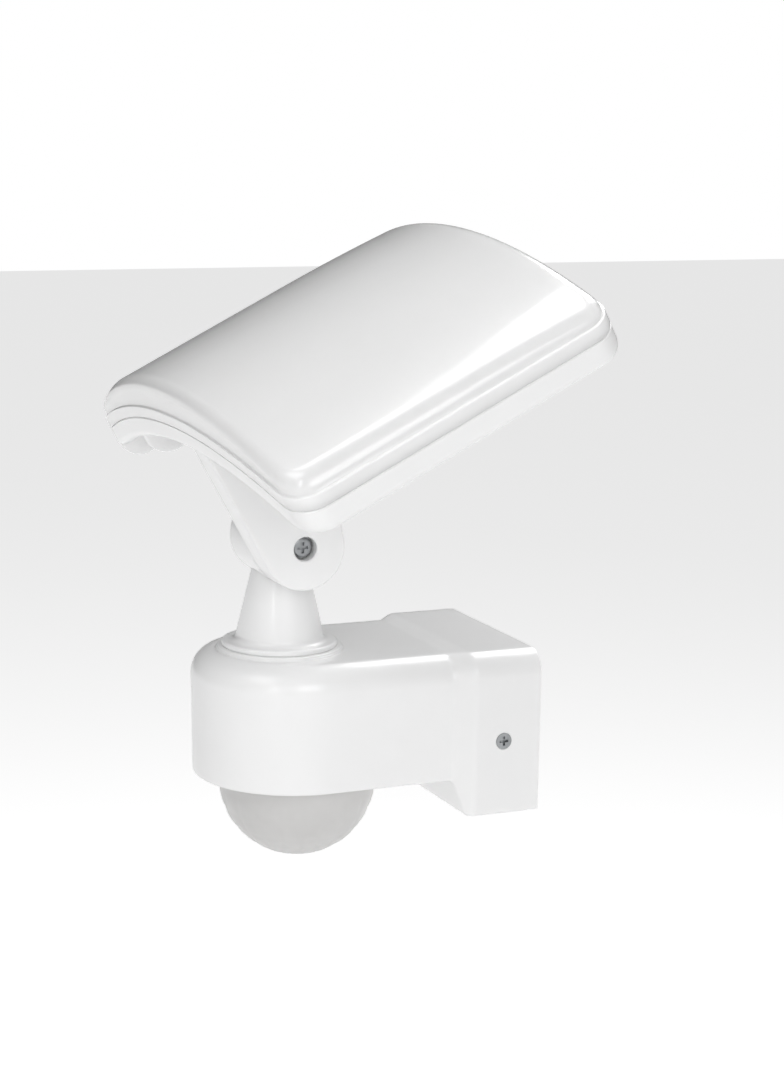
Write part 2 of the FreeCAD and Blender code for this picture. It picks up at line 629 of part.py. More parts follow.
def make_cover_screws():
    """Screws that hold the bottom cover."""
    return [pan_screw(2.7, 1.1, SCREW_RADIUS, 8.0, (x, y, ARM_BOTTOM + 1.2), (0, 0, -1))
            for x, y in COVER_SCREWS]


TRIMMER_LOW = -11.2
TRIMMER_TOP = -6.4
TRIMMER_HALF = 3.6
TRIMMER_BORE = 1.25


def make_trimmer_board():
    """Small board over the two setting dials."""
    return box(-20, 20, DIAL_Y - 5.4, DIAL_Y + 5.4, TRIMMER_TOP, TRIMMER_TOP + BOARD_THICKNESS)


def make_trimmers():
    """Bodies of the two rotary trimmers, each bored for its dial."""
    bodies = []
    for side in (-1, 1):
        x = side * DIAL_X
        body = box(x - TRIMMER_HALF, x + TRIMMER_HALF, DIAL_Y - TRIMMER_HALF, DIAL_Y + TRIMMER_HALF,
                   TRIMMER_LOW, TRIMMER_TOP)
        bodies.append(body.cut(rod(TRIMMER_BORE, (x, DIAL_Y, TRIMMER_LOW - 1), (x, DIAL_Y, TRIMMER_TOP - 1))))
    return bodies


def make_dial(side):
    """Setting dial with a screwdriver slot and a pointer groove, flush with the cover."""
    x = side * DIAL_X
    face = rod(DIAL_RADIUS, (x, DIAL_Y, ARM_BOTTOM + 0.2), (x, DIAL_Y, TRIMMER_LOW - 0.15))
    face = face.makeChamfer(0.3, [face.Edges[2]])
    stub = rod(1.2, (x, DIAL_Y, TRIMMER_LOW - 0.5), (x, DIAL_Y, TRIMMER_TOP - 1.6))
    slot = box(x - 0.45, x + 0.45, DIAL_Y - 2.0, DIAL_Y + 2.0, ARM_BOTTOM, ARM_BOTTOM + 1.5)
    pointer = box(x - 0.9, x + 0.9, DIAL_Y + 1.1, DIAL_Y + 1.6, ARM_BOTTOM, ARM_BOTTOM + 1.5)
    return fused([face, stub]).cut(slot).cut(pointer)


# ---------------------------------------------------------------- stem
def make_stem():
    """Hollow cone that swivels on the arm and ends in the drum of the tilt joint."""
    flange_top = SEAT_TOP + FLANGE_THICKNESS
    cone_top = flange_top + CONE_HEIGHT
    points = [(0, SEAT_TOP), (FLANGE_RADIUS, SEAT_TOP), (FLANGE_RADIUS, flange_top),
              (CONE_FOOT_RADIUS, flange_top), (CONE_TOP_RADIUS, cone_top), (0, cone_top)]
    body = turned(points, [0, 0, 0.9, 1.6, 0, 0], 0, STEM_Y)
    top_points = [(0, cone_top), (CONE_TOP_RADIUS, cone_top), (9.0, PIVOT_Z - 6), (0, PIVOT_Z - 6)]
    throat = turned(top_points, [0, 0, 0, 0], 0, STEM_Y)
    neck = rod(NECK_RADIUS, (0, STEM_Y, NECK_BOTTOM), (0, STEM_Y, SEAT_TOP + 0.5))
    drum = rod(DRUM_RADIUS, (DRUM_FAR_X, STEM_Y, PIVOT_Z), (DRUM_NEAR_X, STEM_Y, PIVOT_Z))
    drum = drum.makeFillet(0.8, [drum.Edges[0], drum.Edges[2]])
    stem = fused([body, throat, neck, drum])
    bore = rod(STEM_BORE_RADIUS, (0, STEM_Y, 0), (0, STEM_Y, PIVOT_Z - 12))
    riser = rod(4.2, (3.5, STEM_Y, PIVOT_Z - 14), (3.5, STEM_Y, PIVOT_Z - 6.5))
    channel = ring(10.4, 4.4, (-1.5, STEM_Y, PIVOT_Z), (DRUM_NEAR_X + 1, STEM_Y, PIVOT_Z))
    channel = channel.common(box(-20, 20, STEM_Y - 20, STEM_Y, PIVOT_Z - 20, PIVOT_Z + 20))
    shank = rod(PIVOT_SHANK_RADIUS, (-20, STEM_Y, PIVOT_Z), (20, STEM_Y, PIVOT_Z))
    lug_room = rod(DRUM_RADIUS + 0.5, (DRUM_NEAR_X, STEM_Y, PIVOT_Z), (LUG_FAR_X, STEM_Y, PIVOT_Z))
    groove = ring(SEAL_OUTER, SEAL_INNER, (0, STEM_Y, SEAT_TOP - 1), (0, STEM_Y, SEAT_TOP + SEAL_THICKNESS))
    for cutter in (bore, riser, channel, shank, nut_prism(0.1), lug_room, groove):
        stem = stem.cut(cutter)
    return stem


def nut_prism(gap):
    """Six-sided prism of the pivot nut's pocket or, with no gap, of the nut."""
    reach = (3.5 + gap) / math.cos(math.radians(30))
    turns = [math.radians(60 * k) for k in range(6)]
    corners = [(STEM_Y + reach * math.cos(a), PIVOT_Z + reach * math.sin(a)) for a in turns]
    return side_prism(corners, [0] * 6, DRUM_FAR_X, DRUM_FAR_X + 3.6)


def make_pivot_nut():
    """Hexagon nut held in the drum's far face."""
    nut = nut_prism(0).common(box(DRUM_FAR_X + 0.4, 0, STEM_Y - 9, STEM_Y + 9, PIVOT_Z - 9, PIVOT_Z + 9))
    return nut.cut(rod(PIVOT_SHANK_RADIUS, (-20, STEM_Y, PIVOT_Z), (20, STEM_Y, PIVOT_Z)))


WASHER_X = LUG_FAR_X - LUG_COUNTERBORE_DEPTH + 0.05
WASHER_THICKNESS = 0.6


def make_pivot_washer():
    """Washer under the pivot screw's head."""
    start = (WASHER_X, STEM_Y, PIVOT_Z)
    return ring(3.7, PIVOT_SHANK_RADIUS, start, (WASHER_X + WASHER_THICKNESS, STEM_Y, PIVOT_Z))


def make_pivot_screw():
    """Cross-head screw that clamps the lug to the drum."""
    seat = (WASHER_X + WASHER_THICKNESS, STEM_Y, PIVOT_Z)
    return pan_screw(3.4, 1.9, PIVOT_SHANK_RADIUS, seat[0] - DRUM_FAR_X - 0.6, seat, (1, 0, 0))


def make_friction_washer():
    """Fibre ring between drum and lug that holds the tilt."""
    return ring(12.6, 10.8, (DRUM_NEAR_X, STEM_Y, PIVOT_Z), (LUG_NEAR_X - 0.05, STEM_Y, PIVOT_Z))


def make_stem_nut():
    """Ring nut that keeps the stem in the housing."""
    nut = ring(STEM_NUT_RADIUS, NECK_RADIUS, (0, STEM_Y, STEM_NUT_LOW), (0, STEM_Y, STEM_NUT_TOP))
    notches = []
    for turn in [math.radians(45 * k) for k in range(8)]:
        x, y = STEM_NUT_RADIUS * math.cos(turn), STEM_Y + STEM_NUT_RADIUS * math.sin(turn)
        notches.append(rod(1.5, (x, y, STEM_NUT_LOW - 3), (x, y, STEM_NUT_TOP + 1)))
    return nut.cut(Part.makeCompound(notches))


def make_stem_spring():
    """Sprung washer that gives the swivel its friction."""
    return ring(STEM_NUT_RADIUS + 0.5, NECK_RADIUS,
                (0, STEM_Y, STEM_NUT_TOP), (0, STEM_Y, ARM_TOP - WALL - 0.05))



def make_stem_seal():
    """Rubber ring in a groove under the stem's flange."""
    return ring(SEAL_OUTER, SEAL_INNER, (0, STEM_Y, SEAT_TOP + 0.02), (0, STEM_Y, SEAT_TOP + SEAL_THICKNESS))


def make_stem_lead():
    """Sheathed lead up the hollow stem to the tilt joint."""
    return rod(2.6, (0, STEM_Y, 6.0), (0, STEM_Y, PIVOT_Z - 12.5))


# ---------------------------------------------------------------- head, designed flat
def head_outline(inset):
    """Corners and radii of the head in plan, drawn in by inset."""
    wide = HEAD_HALF_WIDTH - inset
    front = HEAD_FRONT + inset
    back = HEAD_BACK - inset
    points = [(-wide, front), (wide, front), (wide, back), (-wide, back)]
    return points, [max(HEAD_CORNER - inset, 0.6)] * 4


def arch(crest, radius):
    """Solid under an arched surface whose crest is at height crest."""
    return Part.makeCylinder(radius, 400, Vector(0, -200, crest - radius), Vector(0, 1, 0))


def seam_height(x):
    """Height of the seam at a place across the head."""
    return SEAM_CREST - SEAM_ARCH + math.sqrt(SEAM_ARCH ** 2 - x ** 2)


def arched_slab(inset, low, high):
    """Slab with the head's outline, between two surfaces parallel to the seam."""
    points, radii = head_outline(inset)
    block = plan_prism(points, radii, 0, 90)
    block = block.common(arch(SEAM_CREST + high, SEAM_ARCH + high))
    return block.cut(arch(SEAM_CREST + low, SEAM_ARCH + low))


def tilted(shape):
    """Carries a shape from the head's own frame to its place on the stem."""
    placed = shape.copy()
    placed.rotate(Vector(0, 0, 0), Vector(1, 0, 0), HEAD_TILT)
    placed.translate(Vector(0, STEM_Y, PIVOT_Z))
    return placed


def tangent_point(corner, radius, side):
    """Point where the line from corner touches the pivot's disc; side picks one of the two."""
    distance = math.hypot(*corner)
    heading = math.atan2(corner[1], corner[0]) + side * math.acos(radius / distance)
    return radius * math.cos(heading), radius * math.sin(heading)


LUG_TOP_FRONT = (HEAD_FRONT + 1.0, SEAM_CREST - BAND + 1.4)
LUG_TOP_BACK = (26.0, SEAM_CREST - BAND + 1.4)
# each foot: x, y, radius, and how far its centre lies below the shell's underside
FEET = [(-86.3, -8.1, 7.9, -1.6), (-64.0, -3.4, 8.7, 2.2)]
FOOT_TUCK = 1.2                 # how far a foot reaches into the shell's floor
HEAD_SCREW_PLACES = [(side * (HEAD_HALF_WIDTH - 8.0), y) for side in (-1, 1) for y in (-2.0, 43.3, 88.7)]
HEAD_BOSS_RADIUS = 3.4
WELL_RADIUS = 3.0               # wells in the shell's underside for the diffuser screws
WELL_DEPTH = 2.6
BOARD_SCREW_INSET = 17.0        # from the head's front and back ends
BOARD_SCREW_HOLE = 4.2          # blind hole under the spreader's top, short of the shell's underside
BOARD_SCREW_LENGTH = 5.6
BOARD_BOSS_LENGTH = 2.8
FACET_EDGES = [-80.0, -27.0, 27.0, 80.0]
SPREADER_TOP = -2.2
SPREADER_THICKNESS = 1.5
SPREADER_LENGTH = 102.3
LEAD_X = 16.2
LEAD_Y = 8.0
LEAD_OPENING = 3.3              # radius of the lead's way through shell, spreader and board
LEAD_DUCT = 2.6
LEAD_DUCT_Z = 7.4


def lug_solid():
    """Tall gusset that reaches down to the tilt axis."""
    front = tangent_point(LUG_TOP_FRONT, DRUM_RADIUS, 1)
    back = tangent_point(LUG_TOP_BACK, DRUM_RADIUS, -1)
    bottom = Vector(LUG_NEAR_X, 0, -DRUM_RADIUS)
    corners = [Vector(LUG_NEAR_X, *p) for p in (LUG_TOP_BACK, LUG_TOP_FRONT, front, back)]
    edges = [Part.LineSegment(corners[0], corners[1]).toShape(),
             Part.LineSegment(corners[1], corners[2]).toShape(),
             Part.Arc(corners[2], bottom, corners[3]).toShape(),
             Part.LineSegment(corners[3], corners[0]).toShape()]
    return Part.Face(Part.Wire(edges)).extrude(Vector(LUG_FAR_X - LUG_NEAR_X, 0, 0))


def facet(index):
    """Middle of a spreader facet's top face, and its unit normal, across the head."""
    left, right = FACET_EDGES[index], FACET_EDGES[index + 1]
    low, high = seam_height(left) + SPREADER_TOP, seam_height(right) + SPREADER_TOP
    run = Vector(right - left, 0, high - low)
    run.normalize()
    return Vector((left + right) / 2, 0, (low + high) / 2), Vector(-run.z, 0, run.x)


def board_screw_places():
    """Foot points on the spreader's top, and normals, of the board screws."""
    places = []
    for index in range(3):
        middle, normal = facet(index)
        for y in (HEAD_FRONT + BOARD_SCREW_INSET, HEAD_BACK - BOARD_SCREW_INSET):
            places.append((middle + Vector(0, y, 0), normal))
    return places


def make_head_shell():
    """Arched back shell of the head, with its lug, screw bosses and rim ledge."""
    outer = arched_slab(0, -BAND, 0)
    under = [edge for edge in outer.Edges if is_lower_rim(edge)]
    outer = outer.makeFillet(SHELL_EDGE_RADIUS, under)
    outer = outer.cut(arched_slab(SHELL_WALL + 0.1, -SEAL_DEPTH, 3))
    outer = outer.cut(arched_slab(RIM_LEDGE, -BAND + SHELL_WALL, 1))
    adds = [lug_solid()]
    foot_roof = arch(SEAM_CREST - BAND + FOOT_TUCK, SEAM_ARCH - BAND + FOOT_TUCK)
    for x, y, radius, drop in FEET:
        centre = Vector(x, y, seam_height(x) - BAND - drop)
        post = Part.makeCylinder(radius, 2 * radius, centre)
        adds.append(post.fuse(Part.makeSphere(radius, centre)).common(foot_roof))
    cuts = [rod(PIVOT_SHANK_RADIUS + PIVOT_RUNNING_GAP, (0, 0, 0), (40, 0, 0)),
            rod(LUG_COUNTERBORE_RADIUS, (LUG_FAR_X - LUG_COUNTERBORE_DEPTH, 0, 0), (40, 0, 0))]
    for x, y in HEAD_SCREW_PLACES:
        floor = seam_height(x) - BAND
        top = seam_height(abs(x) + HEAD_BOSS_RADIUS) - 0.2
        adds.append(rod(HEAD_BOSS_RADIUS, (x, y, floor + 1.2), (x, y, top)))
        cuts.append(rod(SCREW_RADIUS, (x, y, 0), (x, y, 90)))
        cuts.append(rod(WELL_RADIUS, (x, y, 0), (x, y, floor + WELL_DEPTH)))
    for foot, normal in board_screw_places():
        top = foot - normal * SPREADER_THICKNESS
        adds.append(rod(BOSS_RADIUS, tuple(top), tuple(top - normal * BOARD_BOSS_LENGTH)))
        cuts.append(rod(SCREW_RADIUS, tuple(foot), tuple(foot - normal * BOARD_SCREW_HOLE)))
    cuts.append(rod(LEAD_OPENING, (LEAD_X - 0.2, LEAD_Y, 8.5), (LEAD_X - 0.2, LEAD_Y, 60)))
    cuts.append(rod(LEAD_DUCT, (LUG_NEAR_X - 1, 0, LEAD_DUCT_Z), (LEAD_X, 0, LEAD_DUCT_Z)))
    cuts.append(rod(LEAD_DUCT, (LEAD_X, -0.5, LEAD_DUCT_Z), (LEAD_X, LEAD_Y, 10.5)))
    return fused([outer] + adds).cut(Part.makeCompound(cuts))


def is_lower_rim(edge):
    """True for an edge of the head's slab that lies on its lower surface, round the outline."""
    middle = edge.valueAt((edge.FirstParameter + edge.LastParameter) / 2)
    return abs(middle.z - (seam_height(middle.x) - BAND)) < 0.6 and edge.Length > 3


def diffuser_block(inset, drop):
    """Upper part of the diffuser, drawn in by inset, with its top lowered by drop."""
    points, radii = head_outline(inset)
    block = plan_prism(points, radii, 20, 100)
    block = block.common(arch(SEAM_CREST + DIFFUSER_CREST - drop, DIFFUSER_ARCH - drop))
    top_edges = []
    for edge in block.Edges:
        middle = edge.valueAt((edge.FirstParameter + edge.LastParameter) / 2)
        if middle.z > 30 and edge.BoundBox.ZLength < 25 and edge.BoundBox.ZMin > 21:
            top_edges.append(edge)
    return block.makeFillet(max(DIFFUSER_EDGE_RADIUS - drop, 1.5), top_edges)


def make_diffuser():
    """Opal cover: a flange round the seam, and a hollow crown stepped in from it."""
    flange = arched_slab(0, 0, DIFFUSER_FLANGE).cut(arched_slab(RIM_LEDGE - 0.2, -1, DIFFUSER_FLANGE + 1))
    crown = diffuser_block(DIFFUSER_STEP, 0).cut(diffuser_block(DIFFUSER_STEP + DIFFUSER_WALL, DIFFUSER_WALL))
    crown = crown.cut(arch(SEAM_CREST + 0.4, SEAM_ARCH + 0.4))
    bosses = [rod(HEAD_BOSS_RADIUS, (x, y, seam_height(abs(x) - HEAD_BOSS_RADIUS) + 0.1),
                  (x, y, seam_height(x) + 9.0)) for x, y in HEAD_SCREW_PLACES]
    holes = [rod(SCREW_RADIUS, (x, y, 20), (x, y, seam_height(x) + 7.0)) for x, y in HEAD_SCREW_PLACES]
    return fused([flange, crown] + bosses).cut(Part.makeCompound(holes))


def make_diffuser_seal():
    """Silicone ring between shell and diffuser."""
    return arched_slab(SHELL_WALL + 0.1, -SEAL_DEPTH, 0).cut(arched_slab(RIM_LEDGE - 0.2, -5, 5))


def make_diffuser_screws():
    """Screws that pull the diffuser onto the shell from behind."""
    screws = []
    for x, y in HEAD_SCREW_PLACES:
        seat = (x, y, seam_height(x) - BAND + WELL_DEPTH)
        screws.append(pan_screw(PAN_HEAD_RADIUS, 1.9, SCREW_RADIUS, 12.5, seat, (0, 0, -1)))
    return screws


def make_heat_spreader():
    """Aluminium sheet bent into three flats that carry the boards."""
    tops = [(x, seam_height(x) + SPREADER_TOP) for x in FACET_EDGES]
    outline = tops + [(x, z - SPREADER_THICKNESS) for x, z in reversed(tops)]
    corners = [Vector(x, HEAD_FRONT + 9.0, z) for x, z in outline]
    sheet = Part.Face(Part.makePolygon(corners + corners[:1])).extrude(Vector(0, SPREADER_LENGTH, 0))
    holes = [rod(SCREW_RADIUS, tuple(foot + normal * 2), tuple(foot - normal * 3))
             for foot, normal in board_screw_places()]
    holes.append(rod(LEAD_OPENING, (LEAD_X, LEAD_Y, 30), (LEAD_X, LEAD_Y, 60)))
    return sheet.cut(Part.makeCompound(holes))


def on_facet(index, shape):
    """Lays a shape modelled on the plane z = 0 onto one facet of the spreader."""
    middle, normal = facet(index)
    shape.Placement = FreeCAD.Placement(middle, FreeCAD.Rotation(Vector(0, 0, 1), normal))
    return shape


BOARD_HALF_WIDTH = 23.0
BOARD_FRONT = HEAD_FRONT + 11.0
BOARD_BACK = HEAD_BACK - 11.0
LED_ROWS = 8
LED_PITCH = 11.0
LED_HALF = (1.75, 1.4)
LED_HEIGHT = 0.8


def make_led_board(index):
    """One of the three light boards."""
    board = box(-BOARD_HALF_WIDTH, BOARD_HALF_WIDTH, BOARD_FRONT, BOARD_BACK, 0, BOARD_THICKNESS)
    for y in (HEAD_FRONT + BOARD_SCREW_INSET, HEAD_BACK - BOARD_SCREW_INSET):
        board = board.cut(rod(SCREW_RADIUS, (0, y, -1), (0, y, 3)))
    if index == 1:
        board = board.cut(rod(LEAD_OPENING, (LEAD_X, LEAD_Y, -1), (LEAD_X, LEAD_Y, 3)))
    return on_facet(index, board)


def make_leds():
    """Surface-mounted light-emitting diodes, in rows on the three boards."""
    chips = []
    for index in range(3):
        for x in (-11.5, 11.5):
            for row in range(LED_ROWS):
                y = (BOARD_FRONT + BOARD_BACK) / 2 + (row - (LED_ROWS - 1) / 2) * LED_PITCH
                chip = box(x - LED_HALF[0], x + LED_HALF[0], y - LED_HALF[1], y + LED_HALF[1],
                           BOARD_THICKNESS, BOARD_THICKNESS + LED_HEIGHT)
                chips.append(on_facet(index, chip))
    return chips


def make_board_screws():
    """Screws that hold boards and spreader to the shell."""
    return [pan_screw(2.7, PAN_HEAD_HEIGHT, SCREW_RADIUS, BOARD_SCREW_LENGTH,
                      tuple(foot + normal * BOARD_THICKNESS), tuple(normal))
            for foot, normal in board_screw_places()]


def make_head_lead():
    """Lead from the lug up to the middle light board."""
    return rod(2.4, (LEAD_X, LEAD_Y, 12.0), (LEAD_X, LEAD_Y, SEAM_CREST - 1.2))


# ---------------------------------------------------------------- build and write
def fixed_nodes():
    """Pieces that stay with the wall, by name."""
    return {
        "housing": make_housing(), "housing_screws": make_housing_screws(),
        "wall_plate": make_wall_plate(), "wall_gasket": gasket_ring(GASKET_THICKNESS),
        "cable_grommet": make_cable_grommet(), "terminal_block": make_terminal_block(),
        "terminal_screws": make_terminal_screws(), "supply_leads": make_supply_leads(),
        "driver_board": make_driver_board(), "driver_screws": make_driver_screws(),
        "transformer_core": make_transformer()[0], "transformer_winding": make_transformer()[1],
        "capacitors": make_capacitors(), "relay": make_relay(), "film_capacitor": make_film_capacitor(),
        "fuse": make_fuse(), "sensor_board": make_sensor_board(), "pir_sensor": make_pir_sensor(),
        "pir_window": make_pir_window(), "light_sensor": make_light_sensor(),
        "sensor_leads": make_sensor_leads(), "lens_dome": make_lens_dome(), "lens_ring": make_lens_ring(),
        "lens_retainer": make_lens_retainer(), "retainer_screws": make_retainer_screws(),
        "bottom_cover": make_bottom_cover(), "cover_screws": make_cover_screws(),
        "trimmer_board": make_trimmer_board(), "trimmers": make_trimmers(),
    }


def stem_nodes():
    """Pieces that swivel with the stem, by name, and the two dials."""
    return {
        "time_dial": make_dial(-1), "lux_dial": make_dial(1),
        "stem": make_stem(), "stem_nut": make_stem_nut(), "stem_spring": make_stem_spring(),
        "stem_seal": make_stem_seal(), "stem_lead": make_stem_lead(), "pivot_screw": make_pivot_screw(),
        "pivot_washer": make_pivot_washer(), "pivot_nut": make_pivot_nut(),
        "friction_washer": make_friction_washer(),
    }


def head_nodes():
    """Pieces of the tilting head, by name, carried to their place."""
    nodes = {
        "head_shell": make_head_shell(), "diffuser": make_diffuser(), "diffuser_seal": make_diffuser_seal(),
        "diffuser_screws": make_diffuser_screws(), "heat_spreader": make_heat_spreader(),
        "led_board_far": make_led_board(0), "led_board_middle": make_led_board(1),
        "led_board_near": make_led_board(2), "leds": make_leds(), "board_screws": make_board_screws(),
        "head_lead": make_head_lead(),
    }
    placed = {}
    for name, shape in nodes.items():
        whole = Part.makeCompound(shape) if isinstance(shape, list) else shape
        placed[name] = tilted(whole)
    return placed


def write(name, shape):
    """Writes one node as a STEP file, after a look at its solids."""
    whole = Part.makeCompound(shape) if isinstance(shape, list) else shape
    solids = whole.Solids
    print("%-20s %2d solids %10.1f mm3 valid %s" % (name, len(solids), whole.Volume, whole.isValid()))
    kept = solids[0] if len(solids) == 1 else Part.makeCompound(solids)
    kept.exportStep("parts/%s.step" % name)


def main():
    """Builds every node and writes it."""
    os.makedirs("parts", exist_ok=True)
    for group in (fixed_nodes(), stem_nodes(), head_nodes()):
        for name, shape in group.items():
            write(name, shape)


main()
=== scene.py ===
"""Looks of a wall-mounted floodlight with a motion detector, built round its packed design.

Frame: metres, +Z up, +Y into the wall, origin midway between the two wall screws. Sizes held in
dataclass fields are in millimetres, but in metres in Lamp and Stage, and meshes turn to metres as
they are made. The head's meshes are built lying flat, with the origin on the tilt axis, and then
laid at the head's angle.
"""

import json
import logging
import math
from dataclasses import dataclass
from enum import Enum
from typing import Callable, Sequence

import bmesh
import bpy
import numpy as np
from mathutils import Matrix, Vector


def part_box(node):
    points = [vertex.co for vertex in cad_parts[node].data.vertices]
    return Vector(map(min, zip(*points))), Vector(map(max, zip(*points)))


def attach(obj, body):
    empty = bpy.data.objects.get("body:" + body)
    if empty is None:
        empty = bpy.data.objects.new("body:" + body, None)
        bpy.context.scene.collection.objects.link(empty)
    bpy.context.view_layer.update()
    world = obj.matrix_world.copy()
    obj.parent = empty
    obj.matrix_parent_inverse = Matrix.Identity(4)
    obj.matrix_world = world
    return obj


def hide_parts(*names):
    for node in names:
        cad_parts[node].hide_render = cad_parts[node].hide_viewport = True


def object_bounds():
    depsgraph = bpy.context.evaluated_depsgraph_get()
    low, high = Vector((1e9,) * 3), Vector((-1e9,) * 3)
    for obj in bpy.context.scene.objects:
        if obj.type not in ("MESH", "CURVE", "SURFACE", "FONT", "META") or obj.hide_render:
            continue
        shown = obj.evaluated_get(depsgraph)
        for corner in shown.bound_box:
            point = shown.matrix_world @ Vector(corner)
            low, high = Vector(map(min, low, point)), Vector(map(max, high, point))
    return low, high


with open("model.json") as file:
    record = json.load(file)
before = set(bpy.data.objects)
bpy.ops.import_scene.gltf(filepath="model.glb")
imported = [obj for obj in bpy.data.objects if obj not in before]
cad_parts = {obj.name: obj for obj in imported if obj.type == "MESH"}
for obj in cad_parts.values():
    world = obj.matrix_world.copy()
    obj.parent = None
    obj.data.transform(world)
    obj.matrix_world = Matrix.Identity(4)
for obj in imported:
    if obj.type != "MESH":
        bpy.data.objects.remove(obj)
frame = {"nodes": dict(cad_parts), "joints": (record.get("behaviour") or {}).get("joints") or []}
CAD_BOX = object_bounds()

MM = 0.001
SHARP_ANGLE = math.radians(33)
MERGE_DISTANCE = 1e-6
OVER = 1.0                  # how far a cutter reaches past the surface that it cuts, in millimetres
MATH = "ShaderNodeMath"
LOG = logging.getLogger("floodlight")
Height = Callable[[np.ndarray, np.ndarray], np.ndarray]
Piece = bpy.types.Object
Material = bpy.types.Material
Tree = bpy.types.NodeTree
Socket = bpy.types.NodeSocket


# ---------------------------------------------------------------- node and mesh helpers
def linear(colour: str) -> tuple[float, float, float, float]:
    """Turns an sRGB hex colour to linear RGBA.

    Args:
        colour: Six hex digits after a hash.

    Returns:
        Linear red, green, blue and an alpha of one.
    """
    parts = [int(colour[i:i + 2], 16) / 255 for i in (1, 3, 5)]
    red, green, blue = [c / 12.92 if c <= 0.04045 else ((c + 0.055) / 1.055) ** 2.4 for c in parts]
    return red, green, blue, 1.0


def add(tree: Tree, kind: str, links: dict | tuple = (), **settings) -> bpy.types.Node:
    """Adds a node with its settings, and fills or links its inputs.

    Args:
        tree: Tree that gets the node.
        kind: Type name of the node.
        links: Input name or index, and the value or output socket that goes there. A tuple fills the
            first inputs in turn.
        settings: Attributes of the node.

    Returns:
        The new node.
    """
    node = tree.nodes.new(kind)
    for key, value in settings.items():
        setattr(node, key, value)
    pairs = links if isinstance(links, dict) else dict(enumerate(links))
    for socket, value in pairs.items():
        if isinstance(value, Socket):
            tree.links.new(value, node.inputs[socket])
        else:
            node.inputs[socket].default_value = value
    return node


def smooth(mesh: bpy.types.Mesh) -> None:
    """Shades a mesh smooth, with its real edges kept sharp."""
    mesh.polygons.foreach_set("use_smooth", [True] * len(mesh.polygons))
    mesh.set_sharp_from_angle(angle=SHARP_ANGLE)


def link(name: str, mesh: bpy.types.Mesh, material: Material) -> Piece:
    """Puts a mesh into the scene as an object with one material.

    Args:
        name: Name of the piece.
        mesh: Its mesh, with its place in its vertices.
        material: Its only material.

    Returns:
        The new object.
    """
    mesh.materials.clear()
    mesh.materials.append(material)
    smooth(mesh)
    piece = bpy.data.objects.new(name, mesh)
    bpy.context.scene.collection.objects.link(piece)
    return piece


def bake(piece: Piece) -> Piece:
    """Turns a piece's modifiers into plain mesh.

    Args:
        piece: Object with live modifiers.

    Returns:
        The same object, without modifiers.
    """
    graph = bpy.context.evaluated_depsgraph_get()
    mesh = bpy.data.meshes.new_from_object(piece.evaluated_get(graph))
    piece.modifiers.clear()
    piece.data = mesh
    smooth(mesh)
    return piece


def cut_out(piece: Piece, cutter: Piece) -> Piece:
    """Cuts a closed mesh out of a piece, and removes the cutter.

    Args:
        piece: Closed mesh that is kept.
        cutter: Closed mesh that is used up.

    Returns:
        The kept piece.
    """
    modifier = piece.modifiers.new("cut", "BOOLEAN")
    modifier.operation = "DIFFERENCE"
    modifier.solver = "EXACT"
    modifier.object = cutter
    bake(piece)
    bpy.data.objects.remove(cutter)
    return piece


def join(piece: Piece, other: Piece) -> None:
    """Adds another closed mesh to a piece's own, and removes the other object.

    Args:
        piece: Object that is kept.
        other: Object that is used up; where the two meet, it reaches into the piece.
    """
    work = bmesh.new()
    work.from_mesh(piece.data)
    work.from_mesh(other.data)
    work.to_mesh(piece.data)
    work.free()
    smooth(piece.data)
    bpy.data.objects.remove(other)


class Skin:
    """Vertices and faces of a mesh in the making, in millimetres."""

    def __init__(self) -> None:
        """Starts empty."""
        self.points: list[np.ndarray] = []
        self.faces: list[tuple[int, ...]] = []
        self.count = 0

    def rows(self, rows: np.ndarray, around: bool, skip: Callable[[int, int], bool] | None = None) -> None:
        """Adds a grid of points with a face in each of its cells.

        Args:
            rows: Points, as rows by columns by three.
            around: Whether the last column joins the first.
            skip: Tells for a row and a column whether its cell stays open.
        """
        high, wide = rows.shape[:2]
        base = self.count
        self.points.append(rows.reshape(-1, 3))
        self.count += high * wide
        for i in range(high - 1):
            for j in range(wide if around else wide - 1):
                if skip and skip(i, j):
                    continue
                k = (j + 1) % wide
                self.faces.append((base + i * wide + j, base + i * wide + k,
                                   base + (i + 1) * wide + k, base + (i + 1) * wide + j))

    def mesh(self, name: str, place: Matrix) -> bpy.types.Mesh:
        """Makes the mesh, with doubles merged and normals outwards.

        Args:
            name: Name of the mesh.
            place: Carries the points to their place, before they turn to metres.

        Returns:
            The mesh, in metres.
        """
        made = bpy.data.meshes.new(name)
        made.from_pydata([tuple(p) for p in np.concatenate(self.points)], [], self.faces)
        work = bmesh.new()
        work.from_mesh(made)
        bmesh.ops.remove_doubles(work, verts=work.verts, dist=MERGE_DISTANCE / MM)
        bmesh.ops.dissolve_degenerate(work, edges=work.edges, dist=MERGE_DISTANCE / MM)
        bmesh.ops.recalc_face_normals(work, faces=work.faces)
        work.transform(Matrix.Scale(MM, 4) @ place)
        work.to_mesh(made)
        work.free()
        return made

    def piece(self, name: str, place: Matrix, material: Material) -> Piece:
        """Makes the mesh and puts it into the scene.

        Args:
            name: Name of the piece and of its mesh.
            place: Carries the points to their place, before they turn to metres.
            material: Its only material.

        Returns:
            The piece.
        """
        return link(name, self.mesh(name, place), material)


